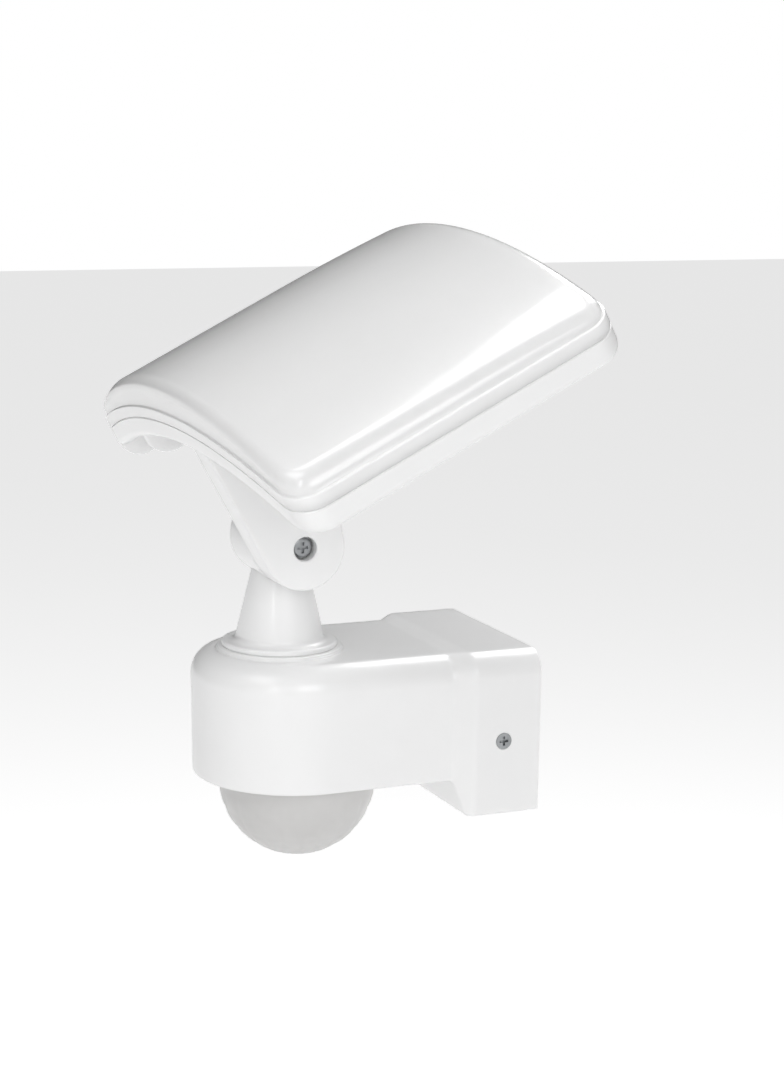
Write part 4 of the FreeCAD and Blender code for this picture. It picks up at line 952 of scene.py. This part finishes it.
# ---------------------------------------------------------------- stem
@dataclass
class Stem:
    """Hollow cone that swivels on the arm, and the drum that the head tilts on."""

    steps: int = 96
    # flange on the arm's seat
    flange_radius: float = 19.65
    flange_height: float = 1.9
    flange_foot: tuple[float, float] = (0.4, 0.35)
    flange_edge: float = 0.8
    flange_flat: float = 1.2
    flange_steps: int = 6
    # cone, the cove at its foot and its neck inside the drum
    foot_radius: float = 14.7
    foot_blend: float = 2.2
    blend_steps: int = 8
    top_radius: float = 10.0
    cone_height: float = 23.3
    neck_step: float = 1.0
    neck_depth: float = 6.0
    # drum, from its far face to its near one, and the pocket for the captive nut
    drum_radius: float = 14.1
    drum_far: float = -11.75
    drum_near: float = 9.2
    drum_edge: float = 0.9
    drum_edge_steps: int = 5
    nut_reach: float = 3.6
    nut_depth: float = 3.6
    nut_sides: int = 6

    def cone(self, material: Material) -> Piece:
        """Builds the flange and the cone.

        Args:
            material: Their material.

        Returns:
            The piece.
        """
        swivel, tilt = joint_place("swivel"), joint_place("tilt")
        seat, top = swivel.z, swivel.z + self.flange_height
        foot, edge, blend = self.flange_foot, self.flange_edge, self.foot_blend
        outline = [(0.0, seat), (self.flange_radius - foot[0], seat), (self.flange_radius, seat + foot[1])]
        outline += arc((self.flange_radius - edge, top - edge), edge, 0, 90, self.flange_steps)
        outline += [(self.foot_radius + blend + self.flange_flat, top)]
        slope = math.degrees(math.atan2(self.cone_height, self.foot_radius - self.top_radius))
        outline += arc((self.foot_radius + blend, top + blend), blend, 270, 90 + slope, self.blend_steps)
        neck = tilt.z - self.neck_depth
        outline += [(self.top_radius, top + self.cone_height), (self.top_radius - self.neck_step, neck),
                    (0.0, neck)]
        skin = lathe(outline, self.steps, "Z", Vector((0.0, swivel.y, 0.0)))
        return skin.piece("tilt_stem", Matrix(), material)

    def drum(self, material: Material) -> Piece:
        """Builds the drum, with the pocket in its far face.

        Args:
            material: Its material.

        Returns:
            The piece.
        """
        tilt = joint_place("tilt")
        centre = Vector((0.0, tilt.y, tilt.z))
        far, near, edge = self.drum_far, self.drum_near, self.drum_edge
        rim = self.drum_radius - edge
        outline = [(0.0, far), (rim, far)]
        outline += arc((rim, far + edge), edge, 270, 360, self.drum_edge_steps)[1:]
        outline += arc((rim, near - edge), edge, 0, 90, self.drum_edge_steps)
        outline += [(0.0, near)]
        drum = lathe(outline, self.steps, "X", centre).piece("drum", Matrix(), material)
        reach = self.nut_reach / math.cos(math.pi / self.nut_sides)
        floor, mouth = far + self.nut_depth, far - OVER
        outline = [(0.0, mouth), (reach, mouth), (reach, floor), (0.0, floor)]
        pocket = lathe(outline, self.nut_sides, "X", centre).piece("pocket", Matrix(), material)
        return cut_out(drum, pocket)

    def build(self, made: dict[str, Material]) -> list[Piece]:
        """Builds the stem and hands it to the swivelling body.

        Args:
            made: Materials by the name of their slot.

        Returns:
            The stem.
        """
        stem = self.cone(made["white_shell"])
        join(stem, self.drum(made["white_shell"]))
        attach(stem, "stem_body")
        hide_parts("stem")
        return [stem]


# ---------------------------------------------------------------- wall box and arm
@dataclass
class Housing:
    """Wall box that runs into an arm with a half-round front, and the seat of the stem on it."""

    wall: float = 2.4
    # wall box; its depths are where it starts to run in to the arm, above and at its foot
    box_half: float = 39.0
    box_low: float = -27.9
    box_top: float = 27.9
    box_depth: float = 24.2
    box_blend: float = 1.1
    box_radius: float = 8.2
    foot_depth: float = 26.5
    foot_blend: float = 0.7
    foot_radius: float = 1.1
    foot_flat: float = 0.3
    foot_steps: int = 4
    # arm, with half its width at its underside and at its top, and where its round front starts
    arm_start: float = 30.2
    arm_half_low: float = 33.9
    arm_half_top: float = 34.7
    arm_low: float = -16.1
    arm_top: float = 26.9
    arm_radius: float = 8.8
    arm_edge_steps: int = 14
    round_y: float = -75.4
    round_steps: int = 48
    # opening that the bottom cover closes
    opening_inset: float = 2.45
    opening_back: float = -33.0
    # seat of the stem, and the cove round it
    seat_radius: float = 21.3
    seat_edge: float = 0.8
    seat_round: float = 0.6
    seat_cove: float = 0.55
    seat_lift: float = 0.02
    seat_tuck: float = 1.0
    seat_edge_steps: int = 5
    seat_steps: int = 128
    # countersunk holes in the sides of the wall box
    sink_radius: float = 3.0
    sink_over: float = 0.6
    sink_flare: float = 0.3
    sink_depth: float = 1.45
    sink_steps: int = 48
    screw_hole: float = 1.55
    screw_hole_depth: float = 4.0
    # rows of the mesh along Y, and of one half section along its underside, side and top
    stations: tuple[float, ...] = (0.0, -6.0, -12.0, -18.0, *np.arange(-22.0, -33.0, -0.35),
                                   *np.arange(-33.0, -75.0, -3.5))
    bottom_shares: tuple[float, ...] = (0.0, 0.25, 0.5, 0.75, 1.0)
    side_rises: tuple[float, ...] = (4.0, 12.0, 20.0, 28.0)
    top_shares: tuple[float, ...] = (0.85, 0.7, 0.45, 0.2, 0.0)

    def half_section(self, y: float) -> list[tuple[float, float]]:
        """Works out half of the upright cross-section at a place along Y.

        Args:
            y: The place.

        Returns:
            Points as x and z, from the middle of the underside to the middle of the top.
        """
        depth = np.array(-y)
        share = float(ramp(depth, self.box_depth, self.arm_start, self.box_blend))
        low_share = float(ramp(depth, self.foot_depth, self.arm_start, self.foot_blend))
        low = self.box_low + (self.arm_low - self.box_low) * low_share
        top = self.box_top + (self.arm_top - self.box_top) * share
        half_low = self.box_half + (self.arm_half_low - self.box_half) * share
        half_top = self.box_half + (self.arm_half_top - self.box_half) * share
        radius = self.box_radius + (self.arm_radius - self.box_radius) * share
        small = self.foot_radius
        inner = half_low - self.opening_inset
        line = [(inner * s, low) for s in self.bottom_shares] + [(half_low - small - self.foot_flat, low)]
        line += arc((half_low - small, low + small), small, -90, 0, self.foot_steps)
        draft = (half_top - half_low) / (top - low)
        line += [(half_low + draft * rise, low + rise) for rise in self.side_rises]
        line += arc((half_top - radius, top - radius), radius, 0, 90, self.arm_edge_steps)
        line += [((half_top - radius) * s, top) for s in self.top_shares]
        return line

    def skin(self) -> Skin:
        """Runs half sections out along one side, round the front and back along the other.

        Returns:
            The skin, open at the wall and where the bottom cover goes.
        """
        rows = [[(x, y, z) for x, z in self.half_section(y)] for y in self.stations]
        front = self.half_section(self.round_y)
        for turn in np.radians(np.linspace(0, 180, self.round_steps + 1)):
            rows.append([(x * math.cos(turn), self.round_y - x * math.sin(turn), z) for x, z in front])
        rows += [[(-x, y, z) for x, z in self.half_section(y)] for y in reversed(self.stations)]
        open_from = sum(1 for y in self.stations if y > self.opening_back)
        open_to = len(rows) - 1 - open_from
        open_columns = len(self.bottom_shares) - 1

        def skip(row: int, column: int) -> bool:
            """True in the opening that the bottom cover closes."""
            return column < open_columns and open_from <= row < open_to

        skin = Skin()
        skin.rows(np.array(rows), False, skip)
        return skin

    def seat(self, material: Material) -> Piece:
        """Builds the raised disc that the stem turns on.

        Args:
            material: Its material.

        Returns:
            The piece, which reaches into the arm.
        """
        swivel = joint_place("swivel")
        outer, cove, edge = self.seat_radius + self.seat_edge, self.seat_cove, self.seat_round
        floor, steps = self.arm_top - self.seat_tuck, self.seat_edge_steps
        outline = [(0.0, floor), (outer, floor), (outer, self.arm_top - self.seat_lift)]
        outline += arc((outer, self.arm_top + cove), cove, 270, 180, steps)
        outline += arc((self.seat_radius - edge, swivel.z - edge), edge, 0, 90, steps)
        outline += [(0.0, swivel.z)]
        skin = lathe(outline, self.seat_steps, "Z", Vector((0.0, swivel.y, 0.0)))
        return skin.piece("seat", Matrix(), material)

    def sink(self, side: int, material: Material) -> Piece:
        """Builds the cutter for one countersunk hole.

        Args:
            side: 1 for the side towards +X, -1 for the other.
            material: Material of the hole's wall.

        Returns:
            The cutter.
        """
        low, high = corners("housing_screws")
        centre = (low + high) / 2
        over, depth, bottom = (v * side for v in (self.sink_over, self.sink_depth, self.screw_hole_depth))
        outline = [(0.0, over), (self.sink_radius + self.sink_flare, over), (self.sink_radius, 0.0),
                   (self.screw_hole, -depth), (self.screw_hole, -bottom), (0.0, -bottom)]
        skin = lathe(outline, self.sink_steps, "X", Vector((side * self.box_half, centre.y, centre.z)))
        return skin.piece("sink", Matrix(), material)

    def build(self, made: dict[str, Material]) -> list[Piece]:
        """Builds the housing and hands it to the fixed body.

        Args:
            made: Materials by the name of their slot.

        Returns:
            The housing.
        """
        white = made["white_shell"]
        body = self.skin().piece("wall_housing", Matrix(), white)
        wall = body.modifiers.new("wall", "SOLIDIFY")
        wall.thickness = self.wall * MM
        wall.offset = -1.0
        wall.use_even_offset = True
        bake(body)
        for side in (-1, 1):
            cut_out(body, self.sink(side, white))
        join(body, self.seat(white))
        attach(body, "bracket")
        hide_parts("housing")
        return [body]


# ---------------------------------------------------------------- detector lens
@dataclass
class DetectorLens:
    """Hanging dome moulded in rows of small lenses."""

    radius: float = 27.0
    wall: float = 1.2
    columns: int = 20
    rows: int = 6
    steps: int = 8
    facet_depth: float = 0.4
    skirt_share: float = 0.12
    skirt_height: float = 5.2

    def tree(self) -> Tree:
        """Makes the tree that bends a flat grid to a dome and sinks the joints between its lenses.

        Returns:
            The geometry tree.
        """
        tree, source = new_tree("lens_rows", {
            "Radius": "Float", "Columns": "Int", "Rows": "Int", "Steps": "Int", "Depth": "Float",
            "Skirt": "Float", "Rise": "Float", "Centre": "Vector"})
        take = source.outputs
        wide, high = [add(tree, MATH, (take[count], take["Steps"], 1), operation="MULTIPLY_ADD").outputs[0]
                      for count in ("Columns", "Rows")]
        grid = add(tree, "GeometryNodeMeshGrid", (1.0, 1.0, wide, high))
        position = add(tree, "GeometryNodeInputPosition").outputs[0]
        split = add(tree, "ShaderNodeSeparateXYZ", (position,)).outputs
        # shares of the way round and of the way down
        u, v = [add(tree, MATH, (split[i], 0.5), operation="ADD").outputs[0] for i in (0, 1)]
        down = add(tree, "ShaderNodeMapRange", {"Value": v, "From Min": take["Skirt"], "From Max": 1.0,
                                                "To Min": 0.0, "To Max": math.pi / 2}).outputs[0]
        level = add(tree, MATH, (down,), operation="COSINE").outputs[0]
        # the dome is sunk most where two lenses meet, and less the nearer they are to its pole
        joints = []
        for share, count in ((u, take["Columns"]), (v, take["Rows"])):
            cells = add(tree, MATH, (share, count), operation="MULTIPLY").outputs[0]
            cell = add(tree, MATH, (cells,), operation="FRACT").outputs[0]
            away = add(tree, MATH, (cell, 2.0, -1.0), operation="MULTIPLY_ADD").outputs[0]
            joints.append(add(tree, MATH, (away, away), operation="MULTIPLY").outputs[0])
        most = add(tree, MATH, tuple(joints), operation="MAXIMUM").outputs[0]
        sunk = add(tree, MATH, (most, take["Depth"]), operation="MULTIPLY").outputs[0]
        faded = add(tree, MATH, (sunk, level), operation="MULTIPLY").outputs[0]
        radius = add(tree, MATH, (take["Radius"], faded), operation="SUBTRACT").outputs[0]
        # place on the dome
        around = add(tree, MATH, (u, 2 * math.pi), operation="MULTIPLY").outputs[0]
        flat = add(tree, MATH, (radius, level), operation="MULTIPLY").outputs[0]
        place = {}
        for axis, turn in enumerate(("COSINE", "SINE")):
            part = add(tree, MATH, (around,), operation=turn).outputs[0]
            place[axis] = add(tree, MATH, (flat, part), operation="MULTIPLY").outputs[0]
        short = add(tree, MATH, (take["Skirt"], v), operation="SUBTRACT").outputs[0]
        above = add(tree, MATH, (short, 0.0), operation="MAXIMUM").outputs[0]
        skirt = add(tree, MATH, (above, take["Skirt"]), operation="DIVIDE").outputs[0]
        rise = add(tree, MATH, (skirt, take["Rise"]), operation="MULTIPLY").outputs[0]
        sine = add(tree, MATH, (down,), operation="SINE").outputs[0]
        drop = add(tree, MATH, (radius, sine), operation="MULTIPLY").outputs[0]
        place[2] = add(tree, MATH, (rise, drop), operation="SUBTRACT").outputs[0]
        bent = add(tree, "ShaderNodeCombineXYZ", place).outputs[0]
        moved = add(tree, "ShaderNodeVectorMath", (bent, take["Centre"]), operation="ADD").outputs[0]
        dome = add(tree, "GeometryNodeSetPosition", {"Geometry": grid.outputs[0], "Position": moved})
        merged = add(tree, "GeometryNodeMergeByDistance",
                     {"Geometry": dome.outputs[0], "Distance": MERGE_DISTANCE})
        end_tree(tree, source, merged.outputs[0])
        return tree

    def build(self, made: dict[str, Material]) -> list[Piece]:
        """Builds the lens and hands it to the fixed body.

        Args:
            made: Materials by the name of their slot.

        Returns:
            The lens.
        """
        low, high = corners("lens_dome")
        centre = Vector(((low.x + high.x) / 2, (low.y + high.y) / 2, low.z + self.radius))
        piece = grow("detector_dome", self.tree(), {
            "Radius": self.radius * MM, "Columns": self.columns, "Rows": self.rows, "Steps": self.steps,
            "Depth": self.facet_depth * MM, "Skirt": self.skirt_share, "Rise": self.skirt_height * MM,
            "Centre": centre * MM}, made["detector_lens"])
        work = bmesh.new()
        work.from_mesh(piece.data)
        bmesh.ops.recalc_face_normals(work, faces=work.faces)
        work.to_mesh(piece.data)
        work.free()
        wall = piece.modifiers.new("wall", "SOLIDIFY")
        wall.thickness = self.wall * MM
        wall.offset = -1.0
        bake(piece)
        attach(piece, "bracket")
        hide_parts("lens_dome")
        return [piece]


# ---------------------------------------------------------------- dial scale
@dataclass
class DialScale:
    """Raised marks on the bottom cover round the two setting dials."""

    inner: float = 4.3
    length: float = 1.1
    width: float = 0.45
    height: float = 0.25
    count: int = 11
    sweep: float = 270.0

    def tree(self) -> Tree:
        """Makes the tree that sets small bars round each point of a mesh.

        Returns:
            The geometry tree.
        """
        tree, source = new_tree("marks_round_dials", {
            "Geometry": "Geometry", "Count": "Int", "Inner": "Float", "Length": "Float", "Width": "Float",
            "Height": "Float", "Sweep": "Float"})
        take = source.outputs
        sizes = add(tree, "ShaderNodeCombineXYZ", (take["Length"], take["Width"], take["Height"]))
        bar = add(tree, "GeometryNodeMeshCube", (sizes.outputs[0],))
        line = add(tree, "GeometryNodeMeshLine", (take["Count"],), mode="OFFSET")
        index = add(tree, "GeometryNodeInputIndex").outputs[0]
        last = add(tree, MATH, (take["Count"], 1.0), operation="SUBTRACT").outputs[0]
        share = add(tree, MATH, (index, last), operation="DIVIDE").outputs[0]
        middle = add(tree, MATH, (share, 0.5), operation="SUBTRACT").outputs[0]
        angle = add(tree, MATH, (middle, take["Sweep"], math.pi / 2), operation="MULTIPLY_ADD").outputs[0]
        reach = add(tree, MATH, (take["Length"], 0.5, take["Inner"]), operation="MULTIPLY_ADD").outputs[0]
        place = {}
        for axis, turn in enumerate(("COSINE", "SINE")):
            part = add(tree, MATH, (angle,), operation=turn).outputs[0]
            place[axis] = add(tree, MATH, (reach, part), operation="MULTIPLY").outputs[0]
        spot = add(tree, "ShaderNodeCombineXYZ", place).outputs[0]
        points = add(tree, "GeometryNodeSetPosition", {"Geometry": line.outputs[0], "Position": spot})
        turned = add(tree, "ShaderNodeCombineXYZ", {2: angle}).outputs[0]
        marks = add(tree, "GeometryNodeInstanceOnPoints", {
            "Points": points.outputs[0], "Instance": bar.outputs[0], "Rotation": turned})
        rings = add(tree, "GeometryNodeInstanceOnPoints", {"Points": take["Geometry"],
                                                           "Instance": marks.outputs[0]})
        end_tree(tree, source, rings.outputs[0])
        return tree

    def build(self, made: dict[str, Material]) -> list[Piece]:
        """Builds the marks on the underside of the bottom cover.

        Args:
            made: Materials by the name of their slot.

        Returns:
            The marks, as one piece.
        """
        floor = corners("bottom_cover")[0].z
        centres = []
        for node in ("time_dial", "lux_dial"):
            low, high = corners(node)
            centres.append(Vector(((low.x + high.x) / 2, (low.y + high.y) / 2, floor)) * MM)
        base = bpy.data.meshes.new("dial_centres")
        base.from_pydata([tuple(c) for c in centres], [], [])
        piece = grow("dial_marks", self.tree(), {
            "Count": self.count, "Inner": self.inner * MM, "Length": self.length * MM,
            "Width": self.width * MM, "Height": self.height * MM, "Sweep": math.radians(self.sweep)},
            made["white_shell"], base)
        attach(piece, "bracket")
        return [piece]


# ---------------------------------------------------------------- carried-over pieces
def dress_nodes(made: dict[str, Material]) -> None:
    """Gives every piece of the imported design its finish.

    Args:
        made: Materials by the name of their slot.
    """
    for node in frame["nodes"].values():
        for slot in node.material_slots:
            slot.material = made[slot.material.name.split(".")[0]]


# ---------------------------------------------------------------- floor, light and camera
def direction(azimuth: float, elevation: float) -> Vector:
    """Returns the way from the object to what stands at two angles, in degrees."""
    a, e = math.radians(azimuth), math.radians(elevation)
    return Vector((math.sin(a) * math.cos(e), -math.cos(a) * math.cos(e), math.sin(e)))


@dataclass(frozen=True)
class Lamp:
    """Soft rectangular light: its direction in degrees, its size in metres and its power in watts."""

    name: str
    azimuth: float
    elevation: float
    distance: float
    width: float
    height: float
    power: float


# matt white paper, rolled: even and without gloss
PAPER = Finish("paper_white", "#FDFDFD", "#FBFBFB", 0.9, pattern_mm=400.0, grain_mm=4.0)


@dataclass
class Stage:
    """Pale floor, dim room, soft lights and the camera, all in metres."""

    azimuth: float = 65.85
    elevation: float = 10.73
    roll: float = 1.06
    distance: float = 0.825
    target: tuple[float, float, float] = (-0.00013, -0.03902, 0.06393)
    lens: float = 81.04
    sensor: float = 36.0
    far: float = 100.0
    floor_drop: float = 0.80
    floor_half: float = 12.0
    # painted light on the floor: its glow far from the object, and the distances from the object over which
    # it rises
    painted_floor_glow: float = 0.6
    glow_from: float = 0.8
    glow_to: float = 2.1
    room_left: float = 0.08
    room_right: float = 0.32
    lamps: tuple[Lamp, ...] = (
        Lamp("side_box", 88.0, 20.0, 2.2, 1.1, 1.1, 12.6),
        Lamp("front_box", 22.0, 50.0, 2.2, 1.1, 1.1, 11.0),
        Lamp("top_box", -60.0, 85.0, 2.2, 1.2, 1.2, 16.0),
        Lamp("back_box", 220.0, 50.0, 2.2, 1.2, 1.2, 24.0),
        Lamp("side_strip", 47.0, 14.0, 1.5, 0.08, 0.9, 2.6))

    def view(self) -> tuple[Vector, Vector, Vector]:
        """Works out how the camera is turned.

        Returns:
            Its right, up and back directions.
        """
        back = direction(self.azimuth, self.elevation)
        a, r = math.radians(self.azimuth), math.radians(self.roll)
        right = Vector((math.cos(a), math.sin(a), 0.0))
        up = back.cross(right)
        return (math.cos(r) * right + math.sin(r) * up, -math.sin(r) * right + math.cos(r) * up, back)

    def camera(self) -> None:
        """Creates the camera and makes it the scene's own."""
        right, up, back = self.view()
        data = bpy.data.cameras.new("camera")
        data.lens = self.lens
        data.sensor_width = self.sensor
        data.clip_end = self.far
        camera = bpy.data.objects.new("camera", data)
        place = Matrix((right, up, back)).transposed().to_4x4()
        place.translation = Vector(self.target) + back * self.distance
        camera.matrix_world = place
        bpy.context.scene.collection.objects.link(camera)
        bpy.context.scene.camera = camera

    def light(self, lamp: Lamp) -> None:
        """Adds a light that faces the object.

        Args:
            lamp: What it is and where it stands.
        """
        away = direction(lamp.azimuth, lamp.elevation)
        data = bpy.data.lights.new(lamp.name, "AREA")
        data.shape = "RECTANGLE"
        data.size, data.size_y = lamp.width, lamp.height
        data.energy = lamp.power
        light = bpy.data.objects.new(lamp.name, data)
        light.location = Vector(self.target) + away * lamp.distance
        light.rotation_euler = away.to_track_quat("Z", "Y").to_euler()
        bpy.context.scene.collection.objects.link(light)

    def surroundings(self) -> None:
        """Adds a dim room that lights the object more from +X, and that the camera sees as plain white."""
        world = bpy.data.worlds.new("white_room")
        world.use_nodes = True
        tree = world.node_tree
        tree.nodes.clear()
        seen = add(tree, "ShaderNodeLightPath").outputs["Is Camera Ray"]
        toward = add(tree, "ShaderNodeTexCoord").outputs["Generated"]
        across = add(tree, "ShaderNodeSeparateXYZ", (toward,)).outputs[0]
        room = add(tree, "ShaderNodeMapRange", {"Value": across, "From Min": -1.0, "From Max": 1.0,
                                                "To Min": self.room_left, "To Max": self.room_right})
        strength = add(tree, "ShaderNodeMapRange", {"Value": seen, "To Min": room.outputs[0],
                                                    "To Max": 1.0}).outputs[0]
        glow = add(tree, "ShaderNodeBackground", {"Color": linear("#FFFFFF"), "Strength": strength})
        add(tree, "ShaderNodeOutputWorld", {"Surface": glow.outputs[0]})
        bpy.context.scene.world = world

    def floor(self) -> None:
        """Adds the pale floor, with a painted glow that grows away from the object, and painted shade near
        it.
        """
        paper = PAPER.build()
        tree = paper.node_tree
        place = add(tree, "ShaderNodeTexCoord").outputs["Object"]
        away = add(tree, "ShaderNodeVectorMath", (place,), operation="LENGTH").outputs["Value"]
        # painted light: the floor's emission rises with distance from the object, so the floor near and
        # under it reads as painted shade
        glow = add(tree, "ShaderNodeMapRange", {"Value": away, "From Min": self.glow_from,
                                                "From Max": self.glow_to, "To Max": self.painted_floor_glow},
                   interpolation_type="SMOOTHSTEP").outputs[0]
        shader = tree.nodes["Principled BSDF"]
        shader.inputs["Emission Color"].default_value = linear("#FFFFFF")
        tree.links.new(glow, shader.inputs["Emission Strength"])
        level = (CAD_BOX[0].z - self.floor_drop) / MM
        reach = self.floor_half / MM
        lines = (-reach, 0.0, reach)
        skin = Skin()
        skin.rows(np.array([[(x, y, level) for x in lines] for y in lines]), False)
        skin.piece("floor", Matrix(), paper)

    def build(self) -> None:
        """Builds the stage."""
        bpy.context.scene.view_settings.view_transform = "Standard"
        self.camera()
        self.surroundings()
        self.floor()
        for lamp in self.lamps:
            self.light(lamp)


def main() -> None:
    """Builds the stage and each sub-assembly, and reports the pieces."""
    logging.basicConfig(level=logging.INFO, format="%(message)s")
    Stage().build()
    made = {slot: finish.build() for slot, finish in FINISHES.items()}
    dress_nodes(made)
    for assembly in (Head(), Stem(), Housing(), DetectorLens(), DialScale()):
        for piece in assembly.build(made):
            LOG.info("%s: %d faces", piece.name, len(piece.data.polygons))


if __name__ == "__main__":
    main()
